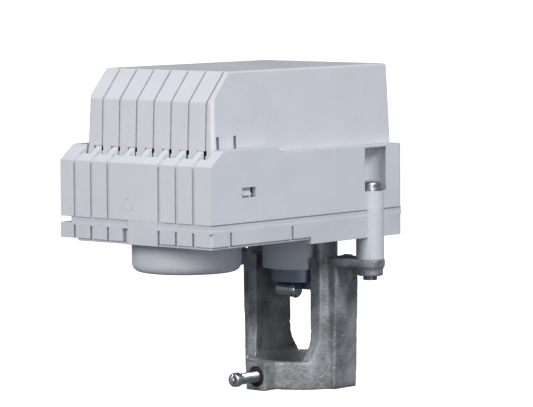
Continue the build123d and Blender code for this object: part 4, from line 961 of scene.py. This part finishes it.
def motor_route(x):
    """Wire from the motor up the front wall and over the board's edge, in millimetres."""
    board_x = x - 3.0
    return [(x, -23.0, 92.6), (x, -30.0, 92.6), (x, -37.2, 94.0), (x - 1.0, -38.6, 104.0),
            (x - 2.0, -38.8, 116.0), (board_x, -38.8, BOARD_TOP + 1.0), (board_x, -37.5, BOARD_TOP + 3.6),
            (board_x, -33.5, BOARD_TOP + 3.6), (board_x, -32.0, BOARD_TOP + 2.0),
            (board_x, -32.0, BOARD_TOP - 0.4)]


def switch_route(y, z):
    """Wire from a limit switch at height z to the header's pin at y, in millimetres."""
    return [(-16.0, 8.6, z), (-16.4, 11.6, z), (-19.0, 12.6, z + 1.0), (-23.0, y + 3.0, BOARD_TOP + 9.0),
            (-26.0, y, BOARD_TOP + 8.6), (-26.0, y, BOARD_TOP + 5.2)]


class ACTUATOR_OT_wires(bpy.types.Operator):
    """Lay the insulated wires from the motor and the limit switches to the board"""
    bl_idname = "actuator.wires"
    bl_label = "Inner wires"

    def execute(self, context):
        radius = context.scene.actuator_sizes.wire_radius
        for name, finish_name, route in (("motor_wire_a", "red", motor_route(-92.0)),
                                         ("motor_wire_b", "blue", motor_route(-90.0)),
                                         ("motor_wire_c", "black", motor_route(-88.0)),
                                         ("switch_wire_a", "white", switch_route(5.5, 123.0)),
                                         ("switch_wire_b", "red", switch_route(3.0, 139.5))):
            dress(tube(name, route, radius), finish_name, "housing")
        return {"FINISHED"}


class ACTUATOR_OT_switch_levers(bpy.types.Operator):
    """Model the spring levers and solder tags of the two limit switches"""
    bl_idname = "actuator.switch_levers"
    bl_label = "Switch levers"

    def execute(self, context):
        half = 2.0
        levers = []
        for node in ("limit_switch_lower", "limit_switch_upper"):
            low, high = [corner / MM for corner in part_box(node)]
            face = high.x - 1.0
            outer = face + 0.30
            middle = (low.z + high.z) / 2
            levers.append(box_part("lever", (face + 0.05, -8.6, middle - half), (outer, 8.2, middle + half),
                                   0.06))
            levers.append(box_part("lever_foot", (face - 0.6, -9.4, middle - half),
                                   (outer, -8.6, middle + half), 0.06))
            for z in (low.z + 1.6, middle, high.z - 1.6):
                levers.append(box_part("tag", (low.x + 2.4, high.y - 0.2, z - 0.25),
                                       (low.x + 5.0, high.y + 2.6, z + 0.25), 0.08))
        dress(gathered(levers, "switch_levers"), "zinc", "housing")
        return {"FINISHED"}


class ACTUATOR_OT_housing_marks(bpy.types.Operator):
    """Model the ejector mark on the housing's smooth pad and the sleeve round the neck screw"""
    bl_idname = "actuator.housing_marks"
    bl_label = "Ejector mark and sleeve"

    def execute(self, context):
        housing_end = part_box("lower_housing")[0].x / MM
        sink = 0.02
        mark_y = 4.3
        mark_z = 104.6
        mark = turned("ejector_mark", [(2.9, 0.0), (3.05, 0.14), (3.3, 0.14), (3.45, 0.0), (2.9, 0.0)],
                      steps=48)
        mark.rotation_euler = (0.0, math.radians(-90), 0.0)
        mark.location = [(housing_end + sink) * MM, mark_y * MM, mark_z * MM]
        settle(mark)
        dress(mark, "housing", "housing")
        lug_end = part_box("yoke")[0].x / MM
        screw_low, screw_high = [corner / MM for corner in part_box("neck_screw")]
        axis_z = (screw_low.z + screw_high.z) / 2
        bore_r = 3.2
        sleeve_r = 5.0
        sleeve = turned("neck_sleeve", [(bore_r, 0.0), (bore_r, 3.9), (sleeve_r, 3.9), (sleeve_r, 0.5),
                                        (4.6, 0.1), (3.7, -0.1), (bore_r, 0.0)], steps=40)
        turn_to_x(sleeve, (lug_end + 0.05, 0.0, axis_z))
        dress(sleeve, "rubber", "housing")
        return {"FINISHED"}


# ---------------------------------------------------------------- studio

def floor_material(value):
    """Pale floor that looks evenly lit and throws little light back up at the object."""
    material = bpy.data.materials.new("Studio floor")
    material.use_nodes = True
    tree = material.node_tree
    tree.nodes.clear()
    pale = add(tree, "ShaderNodeBsdfDiffuse", {"Color": (*value, 1.0)})
    glow = add(tree, "ShaderNodeEmission", {"Color": (*value, 1.0), "Strength": 0.7})
    seen = add(tree, "ShaderNodeAddShader", {0: pale.outputs[0], 1: glow.outputs[0]})
    dim = add(tree, "ShaderNodeBsdfDiffuse", {"Color": (0.16, 0.17, 0.19, 1.0)})
    direct = add(tree, "ShaderNodeLightPath").outputs["Is Camera Ray"]
    both = add(tree, "ShaderNodeMixShader", {0: direct, 1: dim.outputs[0], 2: seen.outputs[0]})
    tree.links.new(both.outputs[0], add(tree, "ShaderNodeOutputMaterial").inputs["Surface"])
    return material


def build_floor(value):
    """Square floor turned to face the camera, with its far edge drawn up as a backdrop."""
    size = 6.0
    clear_selection()
    bpy.ops.mesh.primitive_plane_add(size=size, location=(0.0, 0.0, 0.0))
    floor = claim("studio_floor")
    floor.data.materials.append(floor_material(value))
    edit(floor)
    bpy.ops.mesh.select_all(action="DESELECT")
    bpy.ops.object.mode_set(mode="OBJECT")
    heading = math.radians(CAMERA_HEADING)
    away = Vector((math.sin(heading), math.cos(heading), 0.0))
    floor.rotation_euler = (0.0, 0.0, -heading)
    settle(floor)
    places = [vertex.co for vertex in floor.data.vertices]
    for edge in floor.data.edges:
        middle = (places[edge.vertices[0]] + places[edge.vertices[1]]) / 2
        edge.select = middle.dot(away) > size / 2 - 0.1
    bpy.ops.object.mode_set(mode="EDIT")
    bpy.ops.mesh.select_mode(type="EDGE")
    bpy.ops.mesh.extrude_region_move(TRANSFORM_OT_translate={"value": (0.0, 0.0, 4.0)})
    bpy.ops.mesh.select_all(action="SELECT")
    bpy.ops.mesh.normals_make_consistent(inside=False)
    bpy.ops.object.mode_set(mode="OBJECT")
    use(floor, "BEVEL", width=1.0, segments=12, limit_method="ANGLE")


def build_world():
    """Dim, slightly blue surroundings."""
    world = bpy.data.worlds.new("Studio world")
    world.use_nodes = True
    background = world.node_tree.nodes["Background"]
    background.inputs["Color"].default_value = (0.93, 0.96, 1.0, 1.0)
    background.inputs["Strength"].default_value = 0.2
    bpy.context.scene.world = world


def add_light(name, place, size, power, tint):
    """Square soft light at place, in metres, aimed at the middle of the object."""
    aim = Vector((-0.05, 0.0, 0.09))
    clear_selection()
    bpy.ops.object.light_add(type="AREA", location=place)
    light = bpy.context.active_object
    light.name = name
    light.data.size = size
    light.data.energy = power
    light.data.color = tint
    light.rotation_euler = (Vector(place) - aim).to_track_quat("Z", "Y").to_euler()


def add_camera():
    """Camera at its measured place and angle."""
    clear_selection()
    bpy.ops.object.camera_add(location=(0, 0, 0))
    camera = bpy.context.active_object
    camera.name = "studio_camera"
    camera.data.sensor_width = SENSOR_WIDTH
    camera.data.lens = FOCAL_LENGTH / FRAME_WIDTH * SENSOR_WIDTH
    camera.data.clip_end = 30.0
    heading = Matrix.Rotation(math.radians(-CAMERA_HEADING), 4, "Z")
    tilt = Matrix.Rotation(math.radians(90 - CAMERA_PITCH), 4, "X")
    roll = Matrix.Rotation(math.radians(CAMERA_ROLL), 4, "Z")
    camera.matrix_world = Matrix.Translation(CAMERA_PLACE) @ (heading @ tilt @ roll)
    bpy.context.scene.camera = camera


class ACTUATOR_OT_studio(bpy.types.Operator):
    """Build the pale floor, the lights and the camera"""
    bl_idname = "actuator.studio"
    bl_label = "Studio"

    def execute(self, context):
        build_floor(context.scene.actuator_colours.floor)
        build_world()
        add_light("key_light", (-2.4, 0.0, 1.05), 1.0, 41.0, (1.0, 0.99, 0.97))
        add_light("front_light", (-0.45, -2.2, 1.78), 0.9, 56.0, (0.96, 0.98, 1.0))
        add_light("low_light", (-1.0, -1.7, 0.22), 0.6, 5.0, (1.0, 1.0, 1.0))
        add_light("back_light", (1.1, 2.3, 0.5), 0.7, 16.0, (0.97, 0.98, 1.0))
        add_camera()
        context.scene.view_settings.view_transform = "Standard"
        return {"FINISHED"}


# ---------------------------------------------------------------- add-on

OPERATORS = (
    ACTUATOR_OT_finishes,
    ACTUATOR_OT_yoke,
    ACTUATOR_OT_neck_screw,
    ACTUATOR_OT_lead_screw,
    ACTUATOR_OT_board_blocks,
    ACTUATOR_OT_board_small,
    ACTUATOR_OT_wires,
    ACTUATOR_OT_switch_levers,
    ACTUATOR_OT_housing_marks,
    ACTUATOR_OT_studio,
)


class ACTUATOR_PT_panel(bpy.types.Panel):
    """Sidebar list of the settings and the steps"""
    bl_idname = "ACTUATOR_PT_panel"
    bl_label = "Valve Actuator"
    bl_space_type = "VIEW_3D"
    bl_region_type = "UI"
    bl_category = "Actuator"

    def draw(self, context):
        for group in (context.scene.actuator_sizes, context.scene.actuator_colours):
            column = self.layout.column(align=True)
            for key in group.__annotations__:
                column.prop(group, key)
        for operator in OPERATORS:
            self.layout.operator(operator.bl_idname)


CLASSES = (ActuatorSizes, ActuatorColours, *OPERATORS, ACTUATOR_PT_panel)


def register():
    """Registers the settings, the steps and the panel."""
    for item in CLASSES:
        bpy.utils.register_class(item)
    bpy.types.Scene.actuator_sizes = PointerProperty(type=ActuatorSizes)
    bpy.types.Scene.actuator_colours = PointerProperty(type=ActuatorColours)


def unregister():
    """Removes them again."""
    del bpy.types.Scene.actuator_colours
    del bpy.types.Scene.actuator_sizes
    for item in reversed(CLASSES):
        bpy.utils.unregister_class(item)


def main():
    """Runs every step in order."""
    register()
    for operator in OPERATORS:
        family, step = operator.bl_idname.split(".")
        result = getattr(getattr(bpy.ops, family), step)()
        if result != {"FINISHED"}:
            raise RuntimeError(f"{operator.bl_idname} did not finish")


if __name__ == "__main__":
    main()
